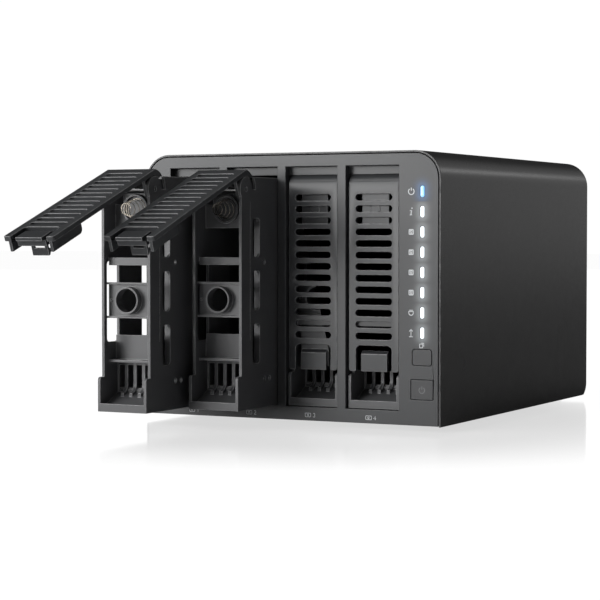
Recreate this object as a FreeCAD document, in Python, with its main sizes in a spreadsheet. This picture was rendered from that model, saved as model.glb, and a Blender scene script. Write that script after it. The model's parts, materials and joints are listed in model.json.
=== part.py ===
"""Four-bay network attached storage with pull-out drive trays, in millimetres.

+X is to the right seen from the front, +Y runs from front to back and +Z is up. The origin is on the
surface that the feet stand on, under the middle of the whole object as it rests: trays 1 and 2 are
drawn out with their handles raised, trays 3 and 4 are home with their handles shut.
"""
import FreeCAD, Part

import os
import re

import Sketcher

doc = FreeCAD.newDocument("network_storage")

# ---------------------------------------------------------------- driving sizes

SIZES = {
    # case
    "case_width": 206.0,
    "case_depth": 273.0,
    "case_height": 170.0,
    "foot_height": 3.0,
    "cover_sheet": 1.2,
    "cover_corner": 17.0,
    "cover_tail_corner": 9.0,
    "cover_flange": 13.0,
    "sheet": 1.2,
    "fit": 0.2,
    "screw_head": 1.6,
    # front bezel
    "bezel_plate": 2.6,
    "bezel_wall": 2.0,
    "bezel_depth": 14.0,
    "bezel_gap": 0.5,
    "bay_rim": 1.6,
    "bay_pitch": 41.45,
    "bay_inset": 45.4,
    "bay_opening": 35.6,
    "bay_sill": 12.0,
    "bay_head": 161.2,
    "strip_bottom": 155.7,
    "strip_setback": 5.6,
    "strip_plate": 2.4,
    # right-hand panel of the bezel
    "light_inset": 12.2,
    "light_top": 145.1,
    "light_pitch": 12.2,
    "light_width": 2.6,
    "light_tall": 6.9,
    "copy_width": 12.4,
    "copy_tall": 9.6,
    "copy_level": 44.8,
    "power_width": 14.3,
    "power_tall": 11.9,
    "power_level": 25.3,
    "button_gap": 0.25,
    "button_cap": 4.2,
    "button_travel": 0.8,
    # trays
    "tray_width": 34.2,
    "tray_wall": 1.85,
    "window_rib": 2.2,
    "tray_bottom": 12.3,
    "tray_length": 182.6,
    "tray_setback": 2.4,
    "stile_setback": 7.2,
    "bucket_top": 33.2,
    "lip_top": 17.3,
    "lip_plate": 2.0,
    "web": 2.0,
    "web_setback": 12.4,
    "deep_setback": 20.4,
    "grille_setback": 22.4,
    "floor_rise": 23.0,
    "shelf_bottom": 41.8,
    "shelf_top": 43.2,
    "panel_top": 58.0,
    "boss_bottom": 68.6,
    "boss_top": 90.2,
    "boss_radius": 8.2,
    "boss_bore": 7.1,
    "boss_proud": 4.8,
    "bar_bottom": 100.5,
    "bar_top": 105.2,
    "header_bottom": 123.0,
    "header_top": 137.5,
    "spring_level": 134.6,
    "drive_floor": 25.6,
    "drive_roof": 130.0,
    # handles
    "handle_width": 33.5,
    "handle_plate": 3.0,
    "handle_bottom": 35.1,
    "hinge_level": 146.5,
    "hinge_setback": 11.0,
    "ear_radius": 7.7,
    "roll_radius": 11.9,
    "roll_space": 12.2,
    "pin_radius": 1.5,
    "pin_play": 0.05,
    "cheek": 2.2,
    "cheek_radius": 6.2,
    "cheek_gap": 0.45,
    "slot_width": 24.5,
    "slot_tall": 4.1,
    "slot_pitch": 7.09,
    "slot_top": 141.9,
    "notch_width": 24.0,
    "notch_top": 51.0,
    "pad_width": 18.0,
    "pad_plate": 1.2,
    "housing_width": 29.0,
    "housing_wall": 2.0,
    "housing_deep": 6.5,
    "housing_top": 67.5,
    "tile_width": 17.5,
    "tile_tall": 10.7,
    "latch_travel": 3.0,
    "hook_width": 11.6,
    "handle_open": 69.7,
    "pull_far": 90.6,
    "pull_near": 52.6,
    "spring_free": 13.0,
    "spring_pressed": 8.6,
    # drive cage and boards
    "cage_wall": 1.0,
    "cage_back": 200.0,
    "cage_wall_back": 188.0,
    "tray_play": 0.8,
    "cage_roof": 158.9,
    "board": 1.6,
    "board_gap": 5.2,
    "board_bottom": 14.0,
    "board_top": 152.0,
    # fan
    "fan_size": 92.0,
    "fan_depth": 25.0,
    "fan_bore": 44.0,
    "fan_holes": 41.25,
    "fan_across": -24.0,
    "fan_level": 88.0,
    "hub_radius": 18.5,
    "hub_wall": 1.7,
    "shaft_radius": 1.5,
    "bearing_radius": 4.0,
    "blade_reach": 42.8,
    "guard_wire": 0.7,
    "guard_spoke": 0.55,
}
BAYS = (1, 2, 3, 4)
SLOTS = 13
LIGHTS = 8
BLADES = 7
GRILLE_SLOTS = (-2, -1, 0, 1, 2)
GRILLE_BARS = (-1.5, -0.5, 0.5, 1.5)
OPEN_BAYS = (1, 2)

sheet = doc.addObject("Spreadsheet::Sheet", "Size")
for row, (alias, number) in enumerate(SIZES.items(), 1):
    sheet.set(f"A{row}", alias.replace("_", " "))
    sheet.set(f"B{row}", str(number))
    sheet.setAlias(f"B{row}", alias)
doc.recompute()

# Lengths worked out from the driving sizes, written as formulas of the sheet's cells.
WORKED = {
    "half_case": "case_width / 2",
    "case_back": "case_depth + screw_head",
    "inner_half": "half_case - cover_sheet",
    "bezel_half": "inner_half - bezel_gap",
    "panel_back": "case_depth - cover_sheet - fit",
    "panel_front": "panel_back - sheet",
    "light_across": "half_case - light_inset",
    "half_opening": "bay_opening / 2",
    "half_tray": "tray_width / 2",
    "inner_tray": "half_tray - tray_wall",
    "tray_back": "tray_setback + tray_length",
    "hinge_deep": "tray_setback + hinge_setback",
    "half_handle": "handle_width / 2",
    "plate_back": "handle_plate - hinge_setback",
    "handle_end": "handle_bottom - hinge_level",
    "notch_end": "notch_top - hinge_level",
    "housing_end": "housing_top - hinge_level",
    "half_housing": "housing_width / 2",
    "housing_back": "plate_back + housing_deep",
    "tray_top": "hinge_level + ear_radius",
    "reach": "pull_far - hinge_deep + hinge_setback * cos(handle_open) - handle_end * sin(handle_open)",
    "front": "(reach - case_back) / 2",
    "cage_floor": "tray_bottom - tray_play",
    "last_wall": "half_case - bay_inset + bay_pitch / 2",
    "board_near": "last_wall + cage_wall / 2 + board_gap",
    "board_face": "board_near + board",
    "fan_front": "panel_front - fan_depth",
    "hub_back": "panel_front - 3",
    "hub_front": "fan_front + 2",
}
DIRECTIONS = {
    "x": FreeCAD.Vector(1, 0, 0),
    "y": FreeCAD.Vector(0, 1, 0),
    "z": FreeCAD.Vector(0, 0, 1),
}


def spell(text):
    """Put a formula into the form that an expression takes, with every name led back to the sheet."""
    def swap(match):
        word = match.group(0)
        if word in WORKED:
            return f"({spell(WORKED[word])})"
        return f"Size.{word}" if word in SIZES else word
    return re.sub(r"[a-z][a-z0-9_]*", swap, str(text))


def bind(thing, **formulas):
    """Tie properties to formulas; Base_x and its like stand for the parts of a placement."""
    for name, text in formulas.items():
        if name.startswith("Base_"):
            name = "Placement.Base." + name[-1]
        thing.setExpression(name, spell(text))
    return thing


def box(x0, x1, y0, y1, z0, z1):
    """A block between two bounds on each axis."""
    block = doc.addObject("Part::Box", "Block")
    bind(block, Length=f"({x1}) - ({x0})", Width=f"({y1}) - ({y0})", Height=f"({z1}) - ({z0})")
    return bind(block, Base_x=x0, Base_y=y0, Base_z=z0)


def rod(along, radius, start, end, across):
    """A round bar along one axis, centred on the two formulas for the other axes."""
    bar = doc.addObject("Part::Cylinder", "Bar")
    bar.Placement.Rotation = FreeCAD.Rotation(DIRECTIONS["z"], DIRECTIONS[along])
    bind(bar, Radius=radius, Height=f"({end}) - ({start})")
    place = dict(zip([axis for axis in "xyz" if axis != along], across))
    place[along] = start
    return bind(bar, Base_x=place["x"], Base_y=place["y"], Base_z=place["z"])


def ring(along, outer, inner, start, end, across):
    """A tube along one axis."""
    return cut(rod(along, outer, start, end, across), rod(along, inner, f"{start} - 1", f"{end} + 1", across))


def fuse(*pieces):
    """One solid from several that meet."""
    if len(pieces) == 1:
        return pieces[0]
    whole = doc.addObject("Part::MultiFuse", "Joined")
    whole.Shapes = list(pieces)
    whole.Refine = True
    return whole


def cut(base, *tools):
    """A solid with others taken out of it."""
    rest = doc.addObject("Part::Cut", "Rest")
    rest.Base = base
    rest.Tool = fuse(*tools)
    rest.Refine = True
    return rest


def common(first, second):
    """The space that two solids share."""
    shared = doc.addObject("Part::MultiCommon", "Shared")
    shared.Shapes = [first, second]
    return shared


def rounded(solid, radius, along, where=lambda middle: True):
    """Round the straight edges that run along one axis and whose middle passes the test."""
    doc.recompute()
    direction = DIRECTIONS[along]
    picked = []
    for number, edge in enumerate(solid.Shape.Edges, 1):
        if edge.Curve.TypeId != "Part::GeomLine":
            continue
        if abs(edge.tangentAt(edge.FirstParameter).dot(direction)) > 0.999 and where(edge.CenterOfMass):
            picked.append((number, radius, radius))
    smooth = doc.addObject("Part::Fillet", "Smooth")
    smooth.Base = solid
    smooth.Edges = picked
    return smooth


def profile(corners):
    """A closed outline through corners given as pairs of formulas, in its own XY plane."""
    outline = doc.addObject("Sketcher::SketchObject", "Outline")
    count = len(corners)
    for number in range(count):
        start = FreeCAD.Vector(number, number * number, 0)
        after = (number + 1) % count
        end = FreeCAD.Vector(after, after * after, 0)
        outline.addGeometry(Part.LineSegment(start, end))
    for number in range(count):
        outline.addConstraint(Sketcher.Constraint("Coincident", number, 2, (number + 1) % count, 1))
    for number, pair in enumerate(corners):
        for kind, text, size in zip(("DistanceX", "DistanceY"), pair, (number, number * number)):
            place = outline.addConstraint(Sketcher.Constraint(kind, -1, 1, number, 1, float(size)))
            outline.setExpression(f"Constraints[{place}]", spell(text))
    return outline


def slab(corners, x0, x1):
    """A prism along X over an outline of (y, z) corners."""
    outline = profile(corners)
    outline.Placement.Rotation = FreeCAD.Rotation(FreeCAD.Vector(1, 1, 1), 120)
    bind(outline, Base_x=x0)
    prism = doc.addObject("Part::Extrusion", "Slab")
    prism.Base = outline
    prism.DirMode = "Custom"
    prism.Dir = DIRECTIONS["x"]
    prism.Solid = True
    return bind(prism, LengthFwd=f"({x1}) - ({x0})")


def node(label, *solids, x="0", y="front", z="0"):
    """Name a finished piece and put it in its place."""
    piece = doc.addObject("Part::Compound", label)
    piece.Links = list(solids)
    piece.Label = label
    return bind(piece, Base_x=x, Base_y=y, Base_z=z)


def bay_across(bay):
    """How far right of the middle a bay's centre lies."""
    return f"(half_case - bay_inset - {4 - bay} * bay_pitch)"


def size(name):
    """A driving size as a number."""
    return float(sheet.get(name))


# ---------------------------------------------------------------- case

# The cover is one folded sheet: two sides and a top with round shoulders, and a narrow flange at the back.
cover = box("-half_case", "half_case", "0", "case_depth", "foot_height", "case_height")
cover = rounded(cover, size("cover_corner"), "y", lambda p: p.z > size("case_height") / 2)
cover = rounded(cover, size("cover_tail_corner"), "x",
                lambda p: p.y > size("case_depth") / 2 and p.z < size("case_height") / 2)
hollow = box("-inner_half", "inner_half", "-1", "case_depth - cover_sheet", "-1", "case_height - cover_sheet")
hollow = rounded(hollow, size("cover_corner") - size("cover_sheet"), "y",
                 lambda p: p.z > size("case_height") / 2)
window = box("cover_flange - half_case", "half_case - cover_flange", "case_depth - 2 * cover_sheet",
             "case_depth + 1", "-1", "case_height - cover_flange")
window = rounded(window, size("cover_corner") / 2, "y", lambda p: p.z > size("case_height") / 2)

SIDE_SCREW_LEVELS = (20, 152)
PORTS_BOTTOM = 30
PORTS_TOP = 146.5
COVER_SCREWS = [(f"{side} * (half_case - cover_flange / 2)", str(level))
                for side in (-1, 1) for level in SIDE_SCREW_LEVELS]
COVER_SCREWS.append(("0", "case_height - cover_flange / 2"))
SCREW_RADIUS = 1.5
SCREW_HEAD_RADIUS = 3.2
SCREW_SHANK = 5
CROSS_REACH = 0.62
CROSS_HALF = 0.4
CROSS_DEEP = 0.8


def screw_holes(places, radius, start, end):
    """Holes along Y for a group of screws."""
    return [rod("y", radius, start, end, place) for place in places]


port_notch = box("board_face - fit", "half_case - cover_sheet", "case_depth - 2 * cover_sheet",
                 "case_depth + 1", PORTS_BOTTOM, PORTS_TOP)
cover = cut(cover, hollow, window, port_notch,
            *screw_holes(COVER_SCREWS, SCREW_RADIUS, "case_depth - 2 * cover_sheet", "case_depth + 1"))
node("outer_cover", cover)


def back_screws(places, radius, head_radius, shank):
    """Screws driven in from the back: a domed head on a plain shank, with a cross recess."""
    screws = []
    for across, level in places:
        head = rounded_head(head_radius, across, level)
        bar = rod("y", radius, f"case_depth - {shank}", "case_depth", (across, level))
        screws.append(fuse(head, bar))
    return screws


def rounded_head(radius, across, level):
    """A low pan head with a cross cut into it."""
    head = rod("y", radius, "case_depth", "case_back", (across, level))
    arm = radius * CROSS_REACH
    cross = [box(f"{across} - {wide}", f"{across} + {wide}", f"case_back - {CROSS_DEEP}", "case_back + 1",
                 f"{level} - {tall}", f"{level} + {tall}")
             for wide, tall in ((arm, CROSS_HALF), (CROSS_HALF, arm))]
    return cut(head, *cross)


node("cover_screws", *back_screws(COVER_SCREWS, SCREW_RADIUS, SCREW_HEAD_RADIUS, SCREW_SHANK))

# Base tray of the case: a floor with two upturned sides inside the cover.
BASE_UPTURN = 11
base_half = "(inner_half - fit)"
base = fuse(
    box(f"-{base_half}", base_half, "bezel_depth + fit", "panel_front", "foot_height", "foot_height + sheet"),
    *[box(f"{side} * {base_half} - {lean} * sheet", f"{side} * {base_half} + {1 - lean} * sheet",
          "bezel_depth + fit", "panel_front - fit", "foot_height", f"foot_height + {BASE_UPTURN}")
      for side, lean in ((-1, 0), (1, 1))],
)
node("base_chassis", base)

# Four rubber feet.
FOOT_RADIUS = 8
FOOT_INSET = 20
FOOT_FRONT = 46
feet = []
for side in (-1, 1):
    for deep in (FOOT_FRONT, f"case_depth - {FOOT_INSET}"):
        foot = doc.addObject("Part::Cone", "Foot")
        bind(foot, Radius1=f"{FOOT_RADIUS} - 1", Radius2=FOOT_RADIUS, Height="foot_height")
        feet.append(bind(foot, Base_x=f"{side} * (half_case - {FOOT_INSET})", Base_y=deep))
node("feet", *feet)

# Front bezel: a moulded plate with a skirt, a rim round each bay and a set-back strip over each handle.
bezel = box("-bezel_half", "bezel_half", "0", "bezel_depth", "foot_height + bezel_gap",
            "case_height - cover_sheet - bezel_gap")
shoulder = size("cover_corner") - size("cover_sheet") - size("bezel_gap")
bezel = rounded(bezel, shoulder, "y", lambda p: p.z > size("case_height") / 2)
cavity = box("bezel_wall - bezel_half", "bezel_half - bezel_wall", "bezel_plate", "bezel_depth + 1",
             "foot_height + bezel_gap + bezel_wall", "case_height - cover_sheet - bezel_gap - bezel_wall")
cavity = rounded(cavity, shoulder - size("bezel_wall"), "y", lambda p: p.z > size("case_height") / 2)
rims = []
openings = []
strips = []
for bay in BAYS:
    middle = bay_across(bay)
    rims.append(box(f"{middle} - half_opening - bay_rim", f"{middle} + half_opening + bay_rim",
                    "bezel_plate / 2", "bezel_depth", "bay_sill - bay_rim", "bay_head + bay_rim"))
    openings.append(box(f"{middle} - half_opening", f"{middle} + half_opening", "-1", "bezel_depth + 1",
                        "bay_sill", "bay_head"))
    strip = box(f"{middle} - half_opening - bay_rim / 2", f"{middle} + half_opening + bay_rim / 2",
                "strip_setback", "strip_setback + strip_plate", "strip_bottom", "bay_head + bay_rim / 2")
    strips.append(cut(strip, rod("x", "roll_space", f"{middle} - bay_pitch", f"{middle} + bay_pitch",
                                 ("hinge_deep", "hinge_level"))))


def light_place(number):
    """Height of one status light."""
    return f"(light_top - {number} * light_pitch)"


def light(number, gap, start, end):
    """A pill-shaped bar along Y where a light shows, smaller than its hole by a gap all round."""
    level = light_place(number)
    pill = box(f"light_across - light_width / 2 + {gap}", f"light_across + light_width / 2 - {gap}", start,
               end, f"{level} - light_tall / 2 + {gap}", f"{level} + light_tall / 2 - {gap}")
    return rounded(pill, (size("light_width") / 2 - gap) * 0.98, "y")


def button(width, tall, level, grow, start, end, corner):
    """A button's block along Y, or its hole when it grows."""
    block = box(f"light_across - {width} / 2 - {grow}", f"light_across + {width} / 2 + {grow}", start, end,
                f"{level} - {tall} / 2 - {grow}", f"{level} + {tall} / 2 + {grow}")
    return rounded(block, corner, "y")


COPY_CORNER = 1.5
POWER_CORNER = 0.4
holes = [light(number, 0, "-1", "bezel_plate + 1") for number in range(LIGHTS)]
holes.append(button("copy_width", "copy_tall", "copy_level", "button_gap", "-1", "bezel_plate + 1",
                    COPY_CORNER + size("button_gap")))
holes.append(button("power_width", "power_tall", "power_level", "button_gap", "-1", "bezel_plate + 1",
                    POWER_CORNER + size("button_gap")))
bezel = fuse(cut(fuse(cut(bezel, cavity), *rims), *openings, *holes), *strips)
node("front_bezel", bezel)
node("light_pipes", *[light(number, 0.05, "0", "bezel_plate + 4.6") for number in range(LIGHTS)])
node("copy_button", button("copy_width", "copy_tall", "copy_level", "0", "0", "button_cap", COPY_CORNER))
node("power_button", button("power_width", "power_tall", "power_level", "0", "0", "button_cap", POWER_CORNER))

# Small board behind the right-hand panel, with the lamps and the two push switches.
LIGHT_BOARD_FACE = "(bezel_plate + 6)"
LIGHT_BOARD_LEFT = 10.5
LIGHT_BOARD_RIGHT = 8.2
LED_HALF = 1.5
LED_TALL = 1.2
SWITCH = 6
node("light_board", box(f"light_across - {LIGHT_BOARD_LEFT}", f"light_across + {LIGHT_BOARD_RIGHT}",
                        LIGHT_BOARD_FACE, f"{LIGHT_BOARD_FACE} + board", "board_bottom + 2", "board_top"))
node("indicator_leds", *[
    box(f"light_across - {LED_HALF}", f"light_across + {LED_HALF}", f"{LIGHT_BOARD_FACE} - {LED_TALL}",
        LIGHT_BOARD_FACE, f"{light_place(number)} - {LED_HALF}", f"{light_place(number)} + {LED_HALF}")
    for number in range(LIGHTS)])
node("button_switches", *[
    box(f"light_across - {SWITCH} / 2", f"light_across + {SWITCH} / 2", "button_cap + button_travel + fit",
        LIGHT_BOARD_FACE, f"{level} - {SWITCH} / 2", f"{level} + {SWITCH} / 2")
    for level in ("copy_level", "power_level")])

# ---------------------------------------------------------------- drive cage

WALLS = [f"(last_wall - {number} * bay_pitch)" for number in range(5)]
first_wall = WALLS[-1]
cage_right = "(last_wall + cage_wall / 2)"
cage_left = f"({first_wall} - cage_wall / 2)"
CAGE_FRONT = "(bezel_depth + 0.5)"
VENTS = ((44, 88), (108, 152))
VENT_BOTTOM = "cage_floor + 33"
VENT_TOP = "cage_roof - 42"
VENT_CORNER = 5
partitions = []
for wall in WALLS:
    plate = box(f"{wall} - cage_wall / 2", f"{wall} + cage_wall / 2", CAGE_FRONT, "cage_wall_back",
                "cage_floor", "cage_roof")
    vents = [rounded(box(f"{wall} - 1", f"{wall} + 1", start, end, VENT_BOTTOM, VENT_TOP), VENT_CORNER, "x")
             for start, end in VENTS]
    partitions.append(cut(plate, *vents))
node("cage_walls", *partitions)
node("cage_floor", box(cage_left, cage_right, CAGE_FRONT, "cage_back", "cage_floor - sheet", "cage_floor"))
ROOF_SETBACK = 12
node("cage_roof", box(cage_left, cage_right, f"{CAGE_FRONT} + {ROOF_SETBACK}", "cage_back",
                      "cage_roof", "cage_roof + sheet"))
POST_RADIUS = 4
POST_INSET = 12
POST_DEPTHS = ("30", "cage_back / 2", f"cage_back - {POST_INSET}")
node("cage_posts", *[
    rod("z", POST_RADIUS, "foot_height + sheet", "cage_floor - sheet", (across, deep))
    for across in (f"{cage_left} + {POST_INSET}", f"{cage_right} - {POST_INSET}") for deep in POST_DEPTHS])
RAIL_LEVELS = (24, 132)
RAIL_TALL = 6
RAIL_PLAY = 0.3
rails = []
for bay in BAYS:
    for side in (-1, 1):
        near = f"{bay_across(bay)} + {side} * (half_tray + {RAIL_PLAY})"
        far = f"{bay_across(bay)} + {side} * (bay_pitch - cage_wall) / 2"
        low, high = (far, near) if side < 0 else (near, far)
        for level in RAIL_LEVELS:
            rails.append(box(low, high, f"{CAGE_FRONT} + 2", "cage_wall_back - 2", level, level + RAIL_TALL))
node("guide_rails", *rails)

# Board across the back of the cage, open for the air between the four drive connectors.
CONNECTOR_OFFSET = 9.5
CONNECTOR_BOTTOM = 58
CONNECTOR_TALL = 42.5
SHELL_HALF = 2.8
TONGUE_HALF = 0.9
AIRWAY = (14, 3)
AIRWAY_CORNER = 3
BACKPLANE_FACE = "cage_back + 0.3"
backplane = box(f"{first_wall} + 1", "board_near - 0.4", BACKPLANE_FACE, f"{BACKPLANE_FACE} + board",
                "board_bottom", "board_top")
airways = [rounded(box(f"{bay_across(bay)} - {AIRWAY[0]}", f"{bay_across(bay)} + {AIRWAY[1]}",
                       "cage_back - 1", "cage_back + 3", "board_bottom + 10", "board_top - 12"),
                   AIRWAY_CORNER, "y") for bay in BAYS]
node("backplane_board", cut(backplane, *airways))
connectors = []
for bay in BAYS:
    across = f"({bay_across(bay)} + {CONNECTOR_OFFSET})"
    shell = box(f"{across} - {SHELL_HALF}", f"{across} + {SHELL_HALF}", "tray_back + 3", BACKPLANE_FACE,
                CONNECTOR_BOTTOM, CONNECTOR_BOTTOM + CONNECTOR_TALL)
    tongue = box(f"{across} - {TONGUE_HALF}", f"{across} + {TONGUE_HALF}", "tray_back + 2", "tray_back + 8",
                 CONNECTOR_BOTTOM + 2, CONNECTOR_BOTTOM + CONNECTOR_TALL - 2)
    connectors.append(cut(shell, tongue))
node("drive_connectors", *connectors)
BOARD_PLUG = (60, 110)
node("board_connector", box(f"{cage_right} + 0.3", "board_near", "cage_back - 6", BACKPLANE_FACE,
                            *BOARD_PLUG))

# ---------------------------------------------------------------- main board and rear ports

BOARD_FRONT = 18
BOARD_BACK = "(panel_front - 7)"
MOUNTS = [(deep, level) for deep in (30, 98, 172) for level in (22, 144)]
STANDOFF_RADIUS = 2.5
BOARD_HEAD_RADIUS = 2.8
BOARD_HEAD_TALL = 1.7
node("mainboard", box("board_near", "board_face", BOARD_FRONT, BOARD_BACK, "board_bottom", "board_top"))
node("board_standoffs", *[rod("x", STANDOFF_RADIUS, cage_right, "board_near", place) for place in MOUNTS])
screws = []
for deep, level in MOUNTS:
    head = rod("x", BOARD_HEAD_RADIUS, "board_face", f"board_face + {BOARD_HEAD_TALL}", (deep, level))
    cross = [box(f"board_face + {BOARD_HEAD_TALL - CROSS_DEEP}", "board_face + 2", deep - long, deep + long,
                 level - tall, level + tall) for long, tall in ((1.8, 0.35), (0.35, 1.8))]
    screws.append(cut(head, *cross))
node("board_screws", *screws)
CHIP = (105, 135, 75, 105)
CHIP_TALL = 2.4
node("processor", box("board_face", f"board_face + {CHIP_TALL}", *CHIP))
SINK = (100, 140, 70, 110)
SINK_BASE = 2.5
SINK_TALL = 9.5
FINS = 9
FIN = 1.2
fin_pitch = (SINK[3] - SINK[2] - FIN) / (FINS - 1)
fins = [box(f"board_face + {CHIP_TALL + 1}", f"board_face + {CHIP_TALL + SINK_TALL}", SINK[0], SINK[1],
            SINK[2] + fin_pitch * number, SINK[2] + fin_pitch * number + FIN) for number in range(FINS)]
sink_plate = box(f"board_face + {CHIP_TALL}", f"board_face + {CHIP_TALL + SINK_BASE}", *SINK)
node("heatsink", fuse(sink_plate, *fins))
SOCKET = (150, 222, 40, 46)
MODULE = (152.2, 219.8, 46, 76)
node("memory_socket", box("board_face", "board_face + 5.2", *SOCKET))
node("memory_module", box("board_face + 3.2", "board_face + 4.4", *MODULE))

PORT_FACE = "(case_depth - 0.6)"
LAN = {"tall": 16, "level": 96, "high": 13.5, "deep": 21}
USB = {"tall": 13.4, "level": 62, "high": 15.4, "deep": 18}
JACK = {"tall": 9, "level": 34, "high": 11, "deep": 14}


def port_block(port):
    """A port's body, standing on the main board and reaching through the rear panel."""
    return box("board_face", f"board_face + {port['high']}", f"{PORT_FACE} - {port['deep']}", PORT_FACE,
               port["level"], port["level"] + port["tall"])


def port_hole(port):
    """The hole that a port needs in the rear panel."""
    return box("board_face - fit", f"board_face + {port['high']} + fit", "panel_front - 1", "case_depth",
               f"{port['level']} - fit", f"{port['level'] + port['tall']} + fit")


def port_mouth(port, x0, x1, z0, z1, depth):
    """A recess in a port's face, from bounds measured from the board and the port's foot."""
    return box(f"board_face + {x0}", f"board_face + {x1}", f"{PORT_FACE} - {depth}", f"{PORT_FACE} + 1",
               port["level"] + z0, port["level"] + z1)


lan_mouth = [port_mouth(LAN, 2, 9, 2.2, 13.8, 12), port_mouth(LAN, 8.9, 11.5, 5.2, 10.8, 12)]
node("lan_port", cut(port_block(LAN), *lan_mouth))
usb = cut(port_block(USB), *[port_mouth(USB, low, low + 4.8, 0.7, 12.7, 14) for low in (1.4, 9.2)])
tongues = [box(f"board_face + {low}", f"board_face + {low + 1.8}", f"{PORT_FACE} - 15", f"{PORT_FACE} - 1",
               USB["level"] + 1.6, USB["level"] + 11.8) for low in (1.9, 9.7)]
node("usb_ports", fuse(usb, *tongues))
jack_middle = ("board_face + 5.6", JACK["level"] + JACK["tall"] / 2)
jack = cut(port_block(JACK), rod("y", 3.2, f"{PORT_FACE} - 10", f"{PORT_FACE} + 1", jack_middle))
node("dc_jack", fuse(jack, rod("y", 1, f"{PORT_FACE} - 11", f"{PORT_FACE} - 1", jack_middle)))

RESET_PLACE = ("board_face + 7.5", 124)
RESET_RADIUS = 1.3
RESET_SWITCH = (121, 127)
node("reset_button", rod("y", RESET_RADIUS, "panel_front - 5", "panel_back - 0.2", RESET_PLACE))
node("reset_switch", box("board_face", "board_face + 10.5", "panel_front - 12", "panel_front - 5.8",
                         *RESET_SWITCH))

# Rear panel with the fan opening and the port cut-outs.
FAN = ("fan_across", "fan_level")
FAN_SCREWS = [(f"fan_across + {right} * fan_holes", f"fan_level + {up} * fan_holes")
              for right in (-1, 1) for up in (-1, 1)]
FAN_SCREW_RADIUS = 1.9
rear = box("-inner_half + fit", "inner_half - fit", "panel_front", "panel_back", "foot_height",
           "case_height - cover_sheet - fit")
rear = rounded(rear, shoulder, "y", lambda p: p.z > size("case_height") / 2)
VENT_SLOTS = 9
VENT_PITCH = 12
VENT_TALL = 4
vent_slots = [rounded(box("-88", "fan_across - fan_size / 2 - 8", "panel_front - 1", "panel_back + 1",
                          30 + VENT_PITCH * number, 30 + VENT_TALL + VENT_PITCH * number), 1.9, "y")
              for number in range(VENT_SLOTS)]
LOCK_SLOT = ("board_face + 3", "board_face + 10", 142, 145)
lock = box(LOCK_SLOT[0], LOCK_SLOT[1], "panel_front - 1", "panel_back + 1", LOCK_SLOT[2], LOCK_SLOT[3])
rear = cut(rear, rod("y", "fan_bore", "panel_front - 1", "panel_back + 1", FAN),
           *[port_hole(port) for port in (LAN, USB, JACK)], lock,
           rod("y", RESET_RADIUS + 0.35, "panel_front - 1", "panel_back + 1", RESET_PLACE),
           *screw_holes(COVER_SCREWS, SCREW_RADIUS, "panel_front - 1", "panel_back + 1"),
           *screw_holes(FAN_SCREWS, FAN_SCREW_RADIUS, "panel_front - 1", "panel_back + 1"),
           *vent_slots)
node("rear_panel", rear)

# ---------------------------------------------------------------- fan

FRAME_CORNER = 4
FRAME_HOLE = 2.15
frame_half = "fan_size / 2"
fan_block = rounded(box(f"fan_across - {frame_half}", f"fan_across + {frame_half}", "fan_front",
                        "panel_front", f"fan_level - {frame_half}", f"fan_level + {frame_half}"),
                    FRAME_CORNER, "y")
fan_block = cut(fan_block, rod("y", "fan_bore", "fan_front - 1", "panel_front + 1", FAN),
                *screw_holes(FAN_SCREWS, FRAME_HOLE, "fan_front - 1", "panel_front + 1"))
spider = [
    rod("y", "hub_radius", "hub_back", "panel_front", FAN),
    box("fan_across - fan_bore - 1", "fan_across + fan_bore + 1", "hub_back", "panel_front",
        "fan_level - 2", "fan_level + 2"),
    box("fan_across - 2", "fan_across + 2", "hub_back", "panel_front",
        "fan_level - fan_bore - 1", "fan_level + fan_bore + 1"),
    rod("y", "bearing_radius", "hub_front + hub_wall + 3", "hub_back + 1", FAN),
]
bearing_hole = rod("y", "shaft_radius + pin_play", "fan_front - 1", "panel_front + 1", FAN)
node("fan_frame", cut(fuse(fan_block, *spider), bearing_hole))
node("fan_stator", ring("y", "hub_radius - hub_wall - 1.3", "bearing_radius", "hub_front + hub_wall + 3",
                        "hub_back - 3", FAN))
cup = cut(rod("y", "hub_radius", "hub_front", "hub_back - 4", FAN),
          rod("y", "hub_radius - hub_wall", "hub_front + hub_wall", "hub_back", FAN))
BLADE_TILT = 40
BLADE_HALF = 0.8
BLADE_REACH = 8.5
blades = []
for number in range(BLADES):
    blade = doc.addObject("Part::Compound", "Blade")
    blade.Links = [box("hub_radius - 1", "blade_reach", -BLADE_HALF, BLADE_HALF, -BLADE_REACH, BLADE_REACH)]
    tilt = FreeCAD.Rotation(DIRECTIONS["x"], BLADE_TILT)
    blade.Placement.Rotation = FreeCAD.Rotation(DIRECTIONS["y"], 360 / BLADES * number).multiply(tilt)
    bind(blade, Base_x="fan_across", Base_y="(hub_front + hub_back - 4) / 2", Base_z="fan_level")
    blades.append(blade)
shaft = rod("y", "shaft_radius", "hub_front + hub_wall / 2", "hub_back + 1", FAN)
blades = cut(fuse(*blades), rod("y", "hub_radius - 0.2", "fan_front", "panel_front", FAN))
node("fan_rotor", fuse(cup, shaft, blades))

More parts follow.
